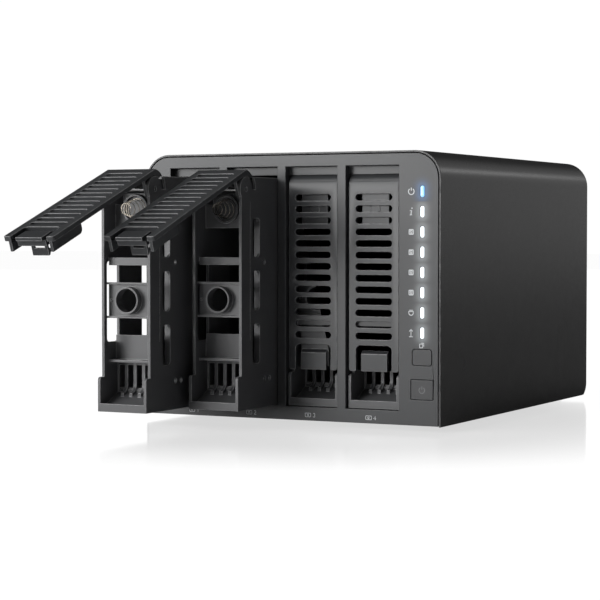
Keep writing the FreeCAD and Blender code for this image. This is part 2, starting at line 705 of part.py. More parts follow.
# Wire guard behind the fan opening, held by the four fan screws.
GUARD_RINGS = (12, 22, 32, 42)
EYE_RADIUS = 3.3
SPOKE_END = f"fan_holes * sqrt(2) - {EYE_RADIUS - 0.2:.1f}"
guard = []
for radius in GUARD_RINGS:
    wire = doc.addObject("Part::Torus", "Wire")
    wire.Placement.Rotation = FreeCAD.Rotation(DIRECTIONS["z"], DIRECTIONS["y"])
    bind(wire, Radius1=radius, Radius2="guard_wire")
    guard.append(bind(wire, Base_x="fan_across", Base_y="case_depth - guard_wire", Base_z="fan_level"))
for turn in (45, 135):
    spoke = doc.addObject("Part::Compound", "Spoke")
    spoke.Links = [rod("x", "guard_spoke", f"-({SPOKE_END})", SPOKE_END, ("0", "0"))]
    spoke.Placement.Rotation = FreeCAD.Rotation(DIRECTIONS["y"], turn)
    guard.append(bind(spoke, Base_x="fan_across", Base_y="case_depth - guard_wire - 0.1", Base_z="fan_level"))
for across, level in FAN_SCREWS:
    eye = doc.addObject("Part::Torus", "Eye")
    eye.Placement.Rotation = FreeCAD.Rotation(DIRECTIONS["z"], DIRECTIONS["y"])
    bind(eye, Radius1=EYE_RADIUS, Radius2="guard_wire")
    guard.append(bind(eye, Base_x=across, Base_y="case_depth - guard_wire", Base_z=level))
node("fan_guard", fuse(*guard))
node("fan_screws", *back_screws(FAN_SCREWS, FAN_SCREW_RADIUS, 3.8, 12))

# ---------------------------------------------------------------- drive trays


def wall_window(side, y0, y1, z0, z1, corner):
    """A window through one side wall of a tray."""
    low, high = ("half_tray - tray_wall - 1", "half_tray + 1") if side > 0 else (
        "-half_tray - 1", "tray_wall - half_tray + 1")
    return rounded(box(low, high, y0, y1, z0, z1), corner, "x")


RIGHT_WINDOWS = ((21.7, 30.6, 105.5, 129.0), (21.7, 30.6, 72.8, 96.8), (21.7, 30.6, 40.1, 64.3),
                 (60, 102, 40, 118), (118, 160, 40, 118))
LEFT_WINDOWS = ((10.5, 24.2, 54, 103), (51, 75, 54, 103), (90, 120, 40, 118), (130, 160, 40, 118))
SMALL_HOLES = ((36.8, 29.9), (43.5, 29.9), (36.5, 102.3))
SMALL_HOLE_RADIUS = 1.6
WINDOW_CORNER = 2.5
GROOVE = (17.8, 18.4)


def side_wall(side):
    """A tray's side: the long wall, the deeper front of the pocket and the ear that holds the hinge pin."""
    inner, outer = ("inner_tray", "half_tray") if side > 0 else ("-half_tray", "-inner_tray")
    wall = box(inner, outer, "stile_setback", "tray_back", "tray_bottom", "tray_top")
    swing = common(rod("x", "roll_space", f"{inner} - 1", f"{outer} + 1", ("hinge_deep", "hinge_level")),
                   box(f"{inner} - 1", f"{outer} + 1", "0", "hinge_deep + 2 * roll_space", "hinge_level",
                       "hinge_level + 2 * roll_space"))
    swing_front = box(f"{inner} - 1", f"{outer} + 1", "0", "hinge_deep", "hinge_level", "tray_top + 1")
    wall = cut(wall, swing, swing_front)
    pocket = rounded(box(inner, outer, "tray_setback", "stile_setback + 1", "tray_bottom", "bucket_top"), 2,
                     "x", lambda p: p.y < size("stile_setback") and p.z > size("lip_top"))
    ear = rod("x", "ear_radius", inner, outer, ("hinge_deep", "hinge_level"))
    windows = RIGHT_WINDOWS if side > 0 else LEFT_WINDOWS
    cuts = [wall_window(side, *window, WINDOW_CORNER) for window in windows]
    if side > 0:
        cuts += [rod("x", SMALL_HOLE_RADIUS, "inner_tray - 1", "half_tray + 1", place)
                 for place in SMALL_HOLES]
        cuts.append(box("half_tray - 0.3", "half_tray + 1", *GROOVE, 55, "hinge_level - ear_radius"))
    cuts.append(rod("x", "pin_radius", f"{inner} - 1", f"{outer} + 1", ("hinge_deep", "hinge_level")))
    return cut(fuse(wall, pocket, ear), *cuts)


def across_plate(y0, y1, z0, z1):
    """A plate between a tray's two side walls."""
    return box("-inner_tray", "inner_tray", y0, y1, z0, z1)


BAR_PITCH = 6.1
BAR_OPEN = 3.8
TOE = 5.0
HOOK_SLOT = (13.9, 17.4)


def tray_frame():
    """The moulded tray: two walls, the pocket under the handle, the front webs and the drive's rails."""
    floor = slab([("tray_setback", "tray_bottom"), ("tray_setback", "lip_top"),
                  ("tray_setback + lip_plate", "lip_top"), ("tray_setback + lip_plate", "tray_bottom + 2"),
                  ("grille_setback + web", "floor_rise + 0.8"), ("grille_setback + web", "floor_rise - 1.6"),
                  ("tray_setback + lip_plate + 3", "tray_bottom")], "-inner_tray", "inner_tray")
    grille = across_plate("grille_setback", "grille_setback + web", "floor_rise - 1", "shelf_top")
    slots = [box(f"{number} * {BAR_PITCH} - {BAR_OPEN} / 2", f"{number} * {BAR_PITCH} + {BAR_OPEN} / 2",
                 "grille_setback - 1", "grille_setback + web + 1", "floor_rise + 1.7", "shelf_bottom - 2.2")
             for number in GRILLE_SLOTS]
    toes = []
    for number in GRILLE_BARS:
        low = f"{number} * {BAR_PITCH} - ({BAR_PITCH} - {BAR_OPEN}) / 2"
        high = f"{number} * {BAR_PITCH} + ({BAR_PITCH} - {BAR_OPEN}) / 2"
        foot = box(low, high, f"grille_setback - {TOE}", "grille_setback + web / 2", "floor_rise - 3.2",
                   f"floor_rise + {TOE}")
        bend = rod("x", TOE, f"{low} - 1", f"{high} + 1",
                   (f"grille_setback - {TOE}", f"floor_rise + {TOE}"))
        toes.append(cut(foot, bend))
    shelf = cut(across_plate("web_setback", "grille_setback + web", "shelf_bottom", "shelf_top"),
                box("-hook_width / 2", "hook_width / 2", *HOOK_SLOT, "shelf_bottom - 1", "shelf_top + 1"))
    boss_level = "(boss_bottom + boss_top) / 2"
    boss = fuse(across_plate("web_setback", "web_setback + web", "boss_bottom", "boss_top"),
                across_plate("web_setback - 2", "web_setback + web", "boss_bottom", "boss_bottom + 1.2"),
                across_plate("web_setback - 2", "web_setback + web", "boss_top - 1.2", "boss_top"),
                rod("y", "boss_radius", "web_setback - boss_proud", "web_setback + web", ("0", boss_level)),
                *[rod("y", 0.9, "web_setback - 1", "web_setback + web",
                      (f"{side} * (inner_tray - 1.6)", boss_level)) for side in (-1, 1)])
    boss = cut(boss, rod("y", "boss_bore", "0", "web_setback + web + 1", ("0", boss_level)))
    seat = ring("y", "8.8", "7.6", "deep_setback - 2.5", "deep_setback + web / 2", ("0", "spring_level"))
    ribs = [box("inner_tray - window_rib", "inner_tray + tray_wall / 2", back, f"{back} + 1.4", bottom, top)
            for _, back, bottom, top in RIGHT_WINDOWS[:3]]
    return fuse(
        side_wall(-1), side_wall(1), *ribs, floor, cut(grille, *slots), *toes, shelf,
        across_plate("deep_setback", "grille_setback + web", "shelf_top", "panel_top"),
        boss,
        across_plate("web_setback", "web_setback + web", "bar_bottom", "bar_top"),
        across_plate("deep_setback", "deep_setback + web", "header_bottom", "header_top"),
        box("-10", "10", "deep_setback", "deep_setback + web", "header_bottom", "spring_level + 9.5"), seat,
        across_plate("deep_setback + web / 2", "tray_back", "drive_roof", "drive_roof + 1.6"),
        across_plate("grille_setback + web / 2", "tray_back", "drive_floor - 1.6", "drive_floor"),
    )


# ---------------------------------------------------------------- handles and latches
# A handle is drawn shut, about its hinge axis: the axis is X through the origin, the plate hangs in front.

PUSHER_RADIUS = 3.2

# Pads close some slots from behind: the top three in their middle, and the one just above the latch.
# Each is its width and its two levels above the desk.
PADS = (
    ("pad_width", "slot_top - 2 * slot_pitch - slot_tall / 2 - 1", "slot_top + slot_tall / 2 + 1"),
    ("slot_width + 1", "housing_top - 5 + fit", "slot_top - 11 * slot_pitch + slot_tall / 2 + 0.5"),
)


def handle():
    """The slotted plate with its rolled top edge, hinge cheeks, latch housing and spring pusher."""
    plate = box("-half_handle", "half_handle", "-hinge_setback", "plate_back", "handle_end", "0")
    plate = rounded(plate, 1.6, "y", lambda p: p.z < size("handle_bottom") - size("hinge_level") + 1)
    over_hinge = box("-half_handle", "half_handle", "-hinge_setback", "plate_back + 3.6", "0", "roll_radius")
    curl = ring("x", "roll_radius", "-plate_back", "-half_handle", "half_handle", ("0", "0"))
    roll = common(curl, over_hinge)
    cheeks = []
    for side in (-1, 1):
        near = f"{side} * (inner_tray - cheek_gap)"
        far = f"{side} * (inner_tray - cheek_gap - cheek)"
        low, high = (near, far) if side < 0 else (far, near)
        cheeks.append(rod("x", "cheek_radius", low, high, ("0", "0")))
        cheeks.append(box(low, high, "plate_back - 0.5", "0", "-cheek_radius", "cheek_radius"))
    pusher = rod("y", PUSHER_RADIUS, "plate_back - 0.5", "-2.2", ("0", "spring_level - hinge_level"))
    pads = [box(f"-({width}) / 2", f"({width}) / 2", "plate_back - 0.2", "plate_back + pad_plate",
                f"{bottom} - hinge_level", f"{top} - hinge_level") for width, bottom, top in PADS]
    sides = []
    for side in (-1, 1):
        near = f"{side} * half_housing"
        far = f"{side} * (half_housing - housing_wall)"
        low, high = (near, far) if side < 0 else (far, near)
        wall = box(low, high, "plate_back - 0.5", "housing_back", "handle_end + 1", "housing_end")
        sides.append(rounded(wall, 3, "x", lambda p: p.y > -4 and p.z > -85))
    back = box("-half_housing", "half_housing", "housing_back - 1.4", "housing_back", "notch_end - 0.5",
               "housing_end - 3")
    notch = rounded(box("-notch_width / 2", "notch_width / 2", "-hinge_setback - 1", "plate_back",
                        "handle_end - 10", "notch_end"), 3, "y")
    slots = []
    for number in range(SLOTS):
        level = f"slot_top - {number} * slot_pitch - hinge_level"
        opening = box("-slot_width / 2", "slot_width / 2", "-hinge_setback - 1", "plate_back + 0.1",
                      f"{level} - slot_tall / 2", f"{level} + slot_tall / 2")
        slots.append(rounded(opening, size("slot_tall") / 2 * 0.98, "y"))
    bore = rod("x", "pin_radius + pin_play", "-half_handle", "half_handle", ("0", "0"))
    return cut(fuse(cut(fuse(plate, roll), notch, *slots), *cheeks, pusher, *pads, *sides, back), bore)


def latch():
    """The sliding catch: a square finger tile, a ramp above it, the slider behind and the hook."""
    face = "0.6 - hinge_setback"
    tile_end = "handle_end + tile_tall"
    slider_face = "plate_back + 0.15"
    tile = slab([(face, "handle_end"), (face, tile_end), (slider_face, f"{tile_end} + 2"),
                 (slider_face, "handle_end + 0.6"), ("plate_back - 0.4", "handle_end")],
                "-tile_width / 2", "tile_width / 2")
    slider = box("-tile_width / 2 - 0.75", "tile_width / 2 + 0.75", slider_face, "plate_back + 3.6",
                 "handle_end + 2.4", "housing_end - 5 - latch_travel")
    hook_bottom = "shelf_top + 0.4 - hinge_level"
    hook_tip = "plate_back + 11.6"
    tongue = box("-hook_width / 2 + 0.3", "hook_width / 2 - 0.3", "plate_back + 3", hook_tip, hook_bottom,
                 f"{hook_bottom} + 1.5")
    wedge = slab([(f"{hook_tip} - 3.4", hook_bottom), (f"{hook_tip} - 3.4", f"{hook_bottom} + 4"),
                  (hook_tip, f"{hook_bottom} + 1.2"), (hook_tip, hook_bottom)],
                 "-hook_width / 2 + 0.3", "hook_width / 2 - 0.3")
    gap = box("-hook_width / 2 + 2.4", "hook_width / 2 - 2.4", "plate_back + 4.4", f"{hook_tip} - 4.4",
              f"{hook_bottom} - 1", f"{hook_bottom} + 2")
    return cut(fuse(tile, slider, tongue, wedge), gap)


def swung(piece, angle):
    """Turn a piece about the hinge axis by a formula for its angle."""
    piece.Placement.Rotation = FreeCAD.Rotation(FreeCAD.Vector(-1, 0, 0), 1)
    piece.setExpression("Placement.Rotation.Angle", spell(angle))
    return piece


COIL_FOOT = 6.6
COIL_HEAD = 3.4
PULLS = {1: "pull_far", 2: "pull_near", 3: "0", 4: "0"}
for bay in BAYS:
    place = {"x": bay_across(bay), "y": f"front - {PULLS[bay]}"}
    hinge = {"x": bay_across(bay), "y": f"front - {PULLS[bay]} + hinge_deep", "z": "hinge_level"}
    node(f"tray_frame_{bay}", tray_frame(), **place)
    pin = rod("x", "pin_radius", "0.3 - half_tray", "half_tray - 0.3", ("0", "0"))
    node(f"hinge_pin_{bay}", pin, **hinge)
    coil = doc.addObject("Part::Cone", "Coil")
    coil.Placement.Rotation = FreeCAD.Rotation(DIRECTIONS["z"], FreeCAD.Vector(0, -1, 0))
    bind(coil, Radius1=COIL_FOOT, Radius2=COIL_HEAD)
    bind(coil, Height="spring_free" if bay in OPEN_BAYS else "spring_pressed")
    bind(coil, Base_y="deep_setback", Base_z="spring_level")
    node(f"handle_spring_{bay}", coil, **place)
    pieces = (node(f"handle_{bay}", handle(), **hinge), node(f"latch_{bay}", latch(), **hinge))
    if bay in OPEN_BAYS:
        for piece in pieces:
            swung(piece, "handle_open")

# ---------------------------------------------------------------- check and write

doc.recompute()
for thing in doc.Objects:
    if "Invalid" in thing.State or "Error" in thing.State:
        raise RuntimeError(f"{thing.Label} failed to build")
os.makedirs("parts", exist_ok=True)
nodes = [thing for thing in doc.Objects if thing.TypeId == "Part::Compound" and not thing.InList]
for piece in nodes:
    if piece.Shape.isNull() or not piece.Shape.isValid():
        raise RuntimeError(f"{piece.Label} has no valid shape")
    piece.Shape.exportStep(f"parts/{piece.Label}.step")
    count = len(piece.Shape.Solids)
    print(f"{piece.Label:20s} {count:3d} solids {piece.Shape.Volume:12.1f} mm3")
print(len(nodes), "nodes")
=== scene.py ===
"""A desktop box for four hard drives, with two of its trays drawn out, in its real finishes.

Metres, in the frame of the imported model: X to the right seen from the front, Y to the back, Z up.
"""

import json
import math

import bmesh
import bpy
import numpy as np
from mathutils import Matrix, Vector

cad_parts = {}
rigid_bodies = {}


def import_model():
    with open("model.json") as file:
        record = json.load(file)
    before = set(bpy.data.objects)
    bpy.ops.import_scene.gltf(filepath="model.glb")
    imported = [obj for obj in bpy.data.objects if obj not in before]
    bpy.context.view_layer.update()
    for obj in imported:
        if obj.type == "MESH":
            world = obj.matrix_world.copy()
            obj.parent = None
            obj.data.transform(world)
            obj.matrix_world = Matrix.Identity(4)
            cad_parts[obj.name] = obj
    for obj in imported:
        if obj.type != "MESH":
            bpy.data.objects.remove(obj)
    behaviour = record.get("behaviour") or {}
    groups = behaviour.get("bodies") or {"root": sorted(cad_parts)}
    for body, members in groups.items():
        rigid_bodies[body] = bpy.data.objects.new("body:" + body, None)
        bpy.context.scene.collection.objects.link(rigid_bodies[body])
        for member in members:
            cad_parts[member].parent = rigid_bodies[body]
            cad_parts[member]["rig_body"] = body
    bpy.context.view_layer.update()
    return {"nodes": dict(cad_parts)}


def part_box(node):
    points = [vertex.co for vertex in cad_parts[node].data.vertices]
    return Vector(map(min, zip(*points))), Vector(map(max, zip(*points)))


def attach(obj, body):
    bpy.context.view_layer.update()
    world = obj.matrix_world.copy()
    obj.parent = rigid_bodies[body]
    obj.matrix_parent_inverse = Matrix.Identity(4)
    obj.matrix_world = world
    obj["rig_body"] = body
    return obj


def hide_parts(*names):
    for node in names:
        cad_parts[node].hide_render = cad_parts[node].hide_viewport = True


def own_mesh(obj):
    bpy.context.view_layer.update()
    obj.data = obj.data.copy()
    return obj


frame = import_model()

# ------------------------------------------------------------------ camera
# A long lens a metre in front of the box and off to its right, level with the middle of the box,
# so that the front is seen nearly square on and the right side runs away behind it.
lens = bpy.data.cameras.new("camera")
lens.sensor_width = 36
lens.lens = 118.05
lens.clip_start = 0.05
camera = bpy.data.objects.new("camera", lens)
camera.location = (0.5598, -1.1350, 0.1212)
camera.rotation_euler = (math.radians(90 - 2.007), 0, math.radians(26.824))
bpy.context.scene.collection.objects.link(camera)
bpy.context.scene.camera = camera
bpy.context.scene.view_settings.view_transform = "Standard"

# ------------------------------------------------------------------ studio
# A white room: a pale floor that gives back a faint picture of the box, walls that are dim where the
# box mirrors them, and soft boxes in front on the left, behind and above.


def place(sheet, kind, **settings):
    """A node in a node tree, with its properties and the values of its sockets set by name."""
    node = sheet.nodes.new(kind)
    for key, value in settings.items():
        if hasattr(node, key):
            setattr(node, key, value)
        else:
            node.inputs[key.replace("_", " ")].default_value = value
    return node


def reckon(sheet, operation, first, second=None, third=None, clamp=False):
    """A sum in a node tree: each term is a socket or a number, and the result's socket comes back."""
    node = place(sheet, "ShaderNodeMath", operation=operation, use_clamp=clamp)
    for socket, term in zip(node.inputs, (first, second, third)):
        if term is None:
            continue
        if isinstance(term, (int, float)):
            socket.default_value = term
        else:
            sheet.links.new(term, socket)
    return node.outputs[0]


def eased(sheet, value, start, end):
    """Nought before start and one after end, with an eased slope between them."""
    node = place(sheet, "ShaderNodeMapRange", interpolation_type="SMOOTHSTEP")
    sheet.links.new(value, node.inputs["Value"])
    node.inputs["From Min"].default_value = start
    node.inputs["From Max"].default_value = end
    return node.outputs["Result"]


room = bpy.data.worlds.new("white room")
bpy.context.scene.world = room
room.use_nodes = True
walls = room.node_tree
walls.nodes.clear()
heading = place(walls, "ShaderNodeSeparateXYZ")
walls.links.new(place(walls, "ShaderNodeTexCoord").outputs["Generated"], heading.inputs[0])
in_front = eased(walls, heading.outputs["Y"], 0.3, -0.6)
to_left = eased(walls, heading.outputs["X"], 0.35, -0.25)
behind_right = reckon(walls, "MULTIPLY", eased(walls, heading.outputs["Y"], 0.3, 0.8),
                      eased(walls, heading.outputs["X"], -0.1, 0.3))
dim = place(walls, "ShaderNodeBackground", Color=(1, 1, 1, 1))
share = reckon(walls, "MULTIPLY_ADD", reckon(walls, "MULTIPLY", in_front, to_left), 0.35, 0.05)
walls.links.new(reckon(walls, "MULTIPLY_ADD", behind_right, 0.40, share), dim.inputs["Strength"])
white = place(walls, "ShaderNodeBackground", Color=(1, 1, 1, 1), Strength=1.02)
seen = place(walls, "ShaderNodeMixShader")
walls.links.new(place(walls, "ShaderNodeLightPath").outputs["Is Camera Ray"], seen.inputs[0])
walls.links.new(dim.outputs[0], seen.inputs[1])
walls.links.new(white.outputs[0], seen.inputs[2])
walls.links.new(seen.outputs[0], place(walls, "ShaderNodeOutputWorld").inputs["Surface"])

# The floor is white where it is seen, and mirrors the box less and less with distance from it. To
# everything but the camera it is grey, painted brighter in front of the box than behind as a painted pool of
# light.
FLOOR_HALF = 9
floor_mesh = bpy.data.meshes.new("floor")
floor_mesh.from_pydata([(-FLOOR_HALF, -FLOOR_HALF, 0), (FLOOR_HALF, -FLOOR_HALF, 0),
                        (FLOOR_HALF, FLOOR_HALF, 0), (-FLOOR_HALF, FLOOR_HALF, 0)], [], [(0, 1, 2, 3)])
floor = bpy.data.objects.new("floor", floor_mesh)
bpy.context.scene.collection.objects.link(floor)
pale = bpy.data.materials.new("pale floor")
pale.use_nodes = True
boards = pale.node_tree
boards.nodes.clear()
lit = place(boards, "ShaderNodeEmission", Color=(1, 1, 1, 1))
shaded = place(boards, "ShaderNodeBsdfDiffuse", Color=(0.12, 0.12, 0.12, 1))
mirror = place(boards, "ShaderNodeBsdfGlossy", Roughness=0.10)
glow = place(boards, "ShaderNodeAddShader")
both = place(boards, "ShaderNodeAddShader")
dull = place(boards, "ShaderNodeBsdfDiffuse")
shown = place(boards, "ShaderNodeMixShader")
on_floor = place(boards, "ShaderNodeTexCoord").outputs["Object"]
reach = place(boards, "ShaderNodeVectorMath", operation="LENGTH")
boards.links.new(on_floor, reach.inputs[0])
close_by = eased(boards, reach.outputs["Value"], 0.31, 0.15)
polish = reckon(boards, "MULTIPLY_ADD", close_by, 0.31, 0.03)
boards.links.new(polish, mirror.inputs["Color"])
boards.links.new(reckon(boards, "MULTIPLY_ADD", polish, -0.97, 0.985), lit.inputs["Strength"])
floor_spot = place(boards, "ShaderNodeSeparateXYZ")
boards.links.new(on_floor, floor_spot.inputs[0])
before_box = eased(boards, floor_spot.outputs["Y"], 0.15, -0.15)
# Painted pool of light: the floor's grey is lighter in front of the box than behind.
painted_pool_in_front = reckon(boards, "MULTIPLY_ADD", before_box, 0.32, 0.30)
boards.links.new(painted_pool_in_front, dull.inputs["Color"])
boards.links.new(lit.outputs[0], glow.inputs[0])
boards.links.new(shaded.outputs[0], glow.inputs[1])
boards.links.new(glow.outputs[0], both.inputs[0])
boards.links.new(mirror.outputs[0], both.inputs[1])
boards.links.new(place(boards, "ShaderNodeLightPath").outputs["Is Camera Ray"], shown.inputs[0])
boards.links.new(dull.outputs[0], shown.inputs[1])
boards.links.new(both.outputs[0], shown.inputs[2])
boards.links.new(shown.outputs[0], place(boards, "ShaderNodeOutputMaterial").inputs["Surface"])
floor_mesh.materials.append(pale)


def soft_box(name, spot, towards, width, height, brightness):
    """A rectangular lamp at a spot, turned to a point, with its brightness given per unit of its face."""
    lamp = bpy.data.lights.new(name, "AREA")
    lamp.shape = "RECTANGLE"
    lamp.size, lamp.size_y = width, height
    lamp.energy = brightness * math.pi * width * height
    held = bpy.data.objects.new(name, lamp)
    held.location = spot
    aim = np.array(towards, float) - np.array(spot, float)
    tilt = math.acos(-aim[2] / np.linalg.norm(aim))
    held.rotation_euler = (tilt, 0, math.atan2(aim[1], aim[0]) - math.pi / 2)
    bpy.context.scene.collection.objects.link(held)
    held.visible_camera = False
    return held


soft_box("key box", (-1.10, -1.75, 0.53), (-0.02, -0.08, 0.08), 1.3, 1.05, 6.6)
soft_box("rear box", (0.96, 2.15, 0.74), (0.10, 0.05, 0.16), 0.55, 0.22, 1.5)
soft_box("top box", (-0.5, -0.75, 1.5), (-0.08, -0.1, 0.12), 1.0, 0.8, 2.4)

# The bright wall that only the floor mirrors, so that the box stands dark in the floor's picture of it.
wall_light = soft_box("wall behind", (-2.3, 4.2, 0.95), (0, 0, 0.5), 9.0, 1.9, 1.0)
wall_light.data.diffuse_factor = 0.0
only_floor = bpy.data.collections.new("only floor")
only_floor.objects.link(floor)
wall_light.light_linking.receiver_collection = only_floor

# ------------------------------------------------------------------ outer cover
# A sheet of steel bent over the top and both sides, powder-coated matt black, with its cut edge
# showing all round the front, painted lighter: partly a thin coat, partly a painted highlight. Its mesh is
# the imported one with the sharp edges broken slightly.


def node_group(name, inputs, outputs):
    """An empty group of nodes with numbers in and the given kinds of socket out."""
    group = bpy.data.node_groups.new(name, "ShaderNodeTree")
    for title, value in inputs.items():
        group.interface.new_socket(title, in_out="INPUT", socket_type="NodeSocketFloat").default_value = value
    for title, kind in outputs.items():
        group.interface.new_socket(title, in_out="OUTPUT", socket_type="NodeSocket" + kind)
    return group, place(group, "NodeGroupInput").outputs, place(group, "NodeGroupOutput").inputs


# Fine grain: small noise as height, with larger patches that shift the tone and the gloss a little.
grain, given, made = node_group(
    "fine grain", {"Size": 0.0003, "Roughness": 0.4, "Spread": 0.1, "Mottle": 0.1},
    {"Height": "Float", "Roughness": "Float", "Tone": "Float"})
spot = place(grain, "ShaderNodeTexCoord").outputs["Object"]
speck = place(grain, "ShaderNodeTexNoise", Detail=2.0, Roughness=0.6)
patch = place(grain, "ShaderNodeTexNoise", Scale=24.0, Detail=3.0, Roughness=0.5)
grain.links.new(spot, speck.inputs["Vector"])
grain.links.new(spot, patch.inputs["Vector"])
grain.links.new(reckon(grain, "DIVIDE", 1.0, given["Size"]), speck.inputs["Scale"])
patch_swing = reckon(grain, "SUBTRACT", patch.outputs[0], 0.5)
speck_swing = reckon(grain, "SUBTRACT", speck.outputs[0], 0.5)
grain.links.new(speck.outputs[0], made["Height"])
swing = reckon(grain, "MULTIPLY_ADD", patch_swing, 0.35, speck_swing)
grain.links.new(reckon(grain, "MULTIPLY_ADD", swing, given["Spread"], given["Roughness"]), made["Roughness"])
grain.links.new(reckon(grain, "MULTIPLY_ADD", swing, given["Mottle"], 1.0), made["Tone"])

# Wear and painted highlight: lighter patches in fine noise, for the strip of each edge that hands and tools
# touch; on the edge materials they also stand in for the glint of light on the edges.
highlight_and_wear_patches, given, made = node_group("painted highlight and wear", {"Amount": 0.0}, {"Mask": "Float"})
break_up = place(highlight_and_wear_patches, "ShaderNodeTexNoise", Scale=260.0, Detail=3.0)
highlight_and_wear_patches.links.new(place(highlight_and_wear_patches, "ShaderNodeTexCoord").outputs["Object"], break_up.inputs["Vector"])
kept = eased(highlight_and_wear_patches, break_up.outputs[0], 0.25, 0.60)
highlight_and_wear_patches.links.new(reckon(highlight_and_wear_patches, "MULTIPLY", kept, given["Amount"], clamp=True), made["Mask"])


def finished(name, colour, roughness, size=0.0003, depth=0.00001, spread=0.1, mottle=0.12, highlight_and_wear=0.0,
             highlight_and_wear_colour=None, metallic=0.0, **sockets):
    """A material with grain and with lighter patches of wear and painted highlight; what is the same all over
    is set on the shader itself.
    """
    material = bpy.data.materials.new(name)
    material.use_nodes = True
    sheet = material.node_tree
    shader = sheet.nodes["Principled BSDF"]
    shader.inputs["Metallic"].default_value = metallic
    for key, value in sockets.items():
        shader.inputs[key.replace("_", " ")].default_value = value
    skin = place(sheet, "ShaderNodeGroup", node_tree=grain, Size=size, Roughness=roughness, Spread=spread,
                 Mottle=mottle)
    tone = place(sheet, "ShaderNodeMix", data_type="RGBA", blend_type="MULTIPLY")
    tone.inputs["Factor"].default_value = 1.0
    tone.inputs["A"].default_value = (*colour, 1)
    sheet.links.new(skin.outputs["Tone"], tone.inputs["B"])
    edge = place(sheet, "ShaderNodeGroup", node_tree=highlight_and_wear_patches, Amount=highlight_and_wear)
    # Lighter patches blended in: wear, and on the edge materials a painted highlight.
    wear_and_highlight_mix = place(sheet, "ShaderNodeMix", data_type="RGBA")
    sheet.links.new(edge.outputs["Mask"], wear_and_highlight_mix.inputs["Factor"])
    sheet.links.new(tone.outputs["Result"], wear_and_highlight_mix.inputs["A"])
    wear_and_highlight_mix.inputs["B"].default_value = (*(highlight_and_wear_colour or [min(1.0, 2.6 * part) for part in colour]), 1)
    sheet.links.new(wear_and_highlight_mix.outputs["Result"], shader.inputs["Base Color"])
    sheet.links.new(skin.outputs["Roughness"], shader.inputs["Roughness"])
    bump = place(sheet, "ShaderNodeBump", Strength=1.0, Distance=depth)
    sheet.links.new(skin.outputs["Height"], bump.inputs["Height"])
    sheet.links.new(bump.outputs["Normal"], shader.inputs["Normal"])
    return material


FLAT = math.radians(0.5)
SHARP = math.radians(32)


def eased_edges(node, width, material, edge=None, segments=2):
    """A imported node's mesh, merged, made whole on its flats and bevelled, standing in for the node. The
    bevels take the edge's own finish where there is one."""
    source = frame["nodes"][node]
    form = bmesh.new()
    form.from_mesh(source.data)
    bmesh.ops.remove_doubles(form, verts=form.verts, dist=2e-6)
    bmesh.ops.dissolve_limit(form, angle_limit=FLAT, verts=form.verts, edges=form.edges)
    for face in form.faces:
        face.smooth = True
    for side in form.edges:
        side.smooth = not (side.is_manifold and side.calc_face_angle(0) > SHARP)
    mesh = bpy.data.meshes.new(node + "_skin")
    form.to_mesh(mesh)
    form.free()
    piece = bpy.data.objects.new(node + "_skin", mesh)
    bpy.context.scene.collection.objects.link(piece)
    bevel = piece.modifiers.new("eased", "BEVEL")
    bevel.width = width
    bevel.segments = segments
    bevel.limit_method = "ANGLE"
    bevel.angle_limit = SHARP
    bevel.use_clamp_overlap = False
    bevel.harden_normals = True
    mesh.materials.append(material)
    if edge:
        mesh.materials.append(edge)
        bevel.material = 1
    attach(piece, source["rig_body"])
    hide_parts(node)


powder_coat = finished("black powder coat", (0.011, 0.011, 0.0115), 0.28, size=0.00045, depth=0.000010,
                       spread=0.08, mottle=0.25)
# The cut edge's lighter colour is partly a thin coat and partly a painted highlight, with lighter patches of
# wear.
cut_edge = finished("cut edge, thin coat and painted highlight", (0.06, 0.06, 0.062), 0.24, size=0.0003, depth=0.000006,
                    highlight_and_wear=0.6, highlight_and_wear_colour=(0.30, 0.30, 0.30))
eased_edges("outer_cover", 0.00035, powder_coat, cut_edge)

# ------------------------------------------------------------------ front bezel
# One moulding in satin dark grey, with four bay openings and the light and button panel at the
# right. The light of the eight lenses is painted on the plastic round them as a faint glow of the plastic
# itself.
LENS_ACROSS = 0.5 * sum(corner.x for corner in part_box("light_pipes"))
LENS_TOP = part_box("light_pipes")[1].z - 0.00345
LENS_PITCH = 0.0122
LENS_COUNT = 8
BEZEL_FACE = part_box("front_bezel")[0].y
LENS_STRAIGHT = 0.0022

# Row of lights: how strongly a point glows from the nearest lens (on the bezel a painted spill of light),
# whether that is the first one, and how far it is from the lens's middle line.
row, given, made = node_group("row of lights", {"Reach": 0.003},
                              {"Spill": "Float", "First": "Float", "Rim": "Float"})
where = place(row, "ShaderNodeSeparateXYZ")
row.links.new(place(row, "ShaderNodeTexCoord").outputs["Object"], where.inputs[0])
steps_down = reckon(row, "DIVIDE", reckon(row, "SUBTRACT", LENS_TOP, where.outputs["Z"]), LENS_PITCH)
not_above = reckon(row, "MAXIMUM", reckon(row, "ROUND", steps_down), 0.0)
nearest = reckon(row, "MINIMUM", not_above, LENS_COUNT - 1.0)
offset = reckon(row, "MULTIPLY", reckon(row, "SUBTRACT", steps_down, nearest), LENS_PITCH)
along = reckon(row, "ABSOLUTE", offset)
past_end = reckon(row, "MAXIMUM", reckon(row, "SUBTRACT", along, LENS_STRAIGHT), 0.0)
aside = reckon(row, "SUBTRACT", where.outputs["X"], LENS_ACROSS)
square = reckon(row, "MULTIPLY_ADD", past_end, past_end, reckon(row, "MULTIPLY", aside, aside))
far = reckon(row, "DIVIDE", square, reckon(row, "MULTIPLY", given["Reach"], given["Reach"]))
fade = reckon(row, "POWER", 2.718, reckon(row, "MULTIPLY", far, -1.0))
at_front = eased(row, where.outputs["Y"], BEZEL_FACE + 0.0022, BEZEL_FACE + 0.0012)
row.links.new(reckon(row, "MULTIPLY", fade, at_front), made["Spill"])
row.links.new(reckon(row, "LESS_THAN", nearest, 0.5), made["First"])
row.links.new(eased(row, square, 0.0, 0.0000005), made["Rim"])


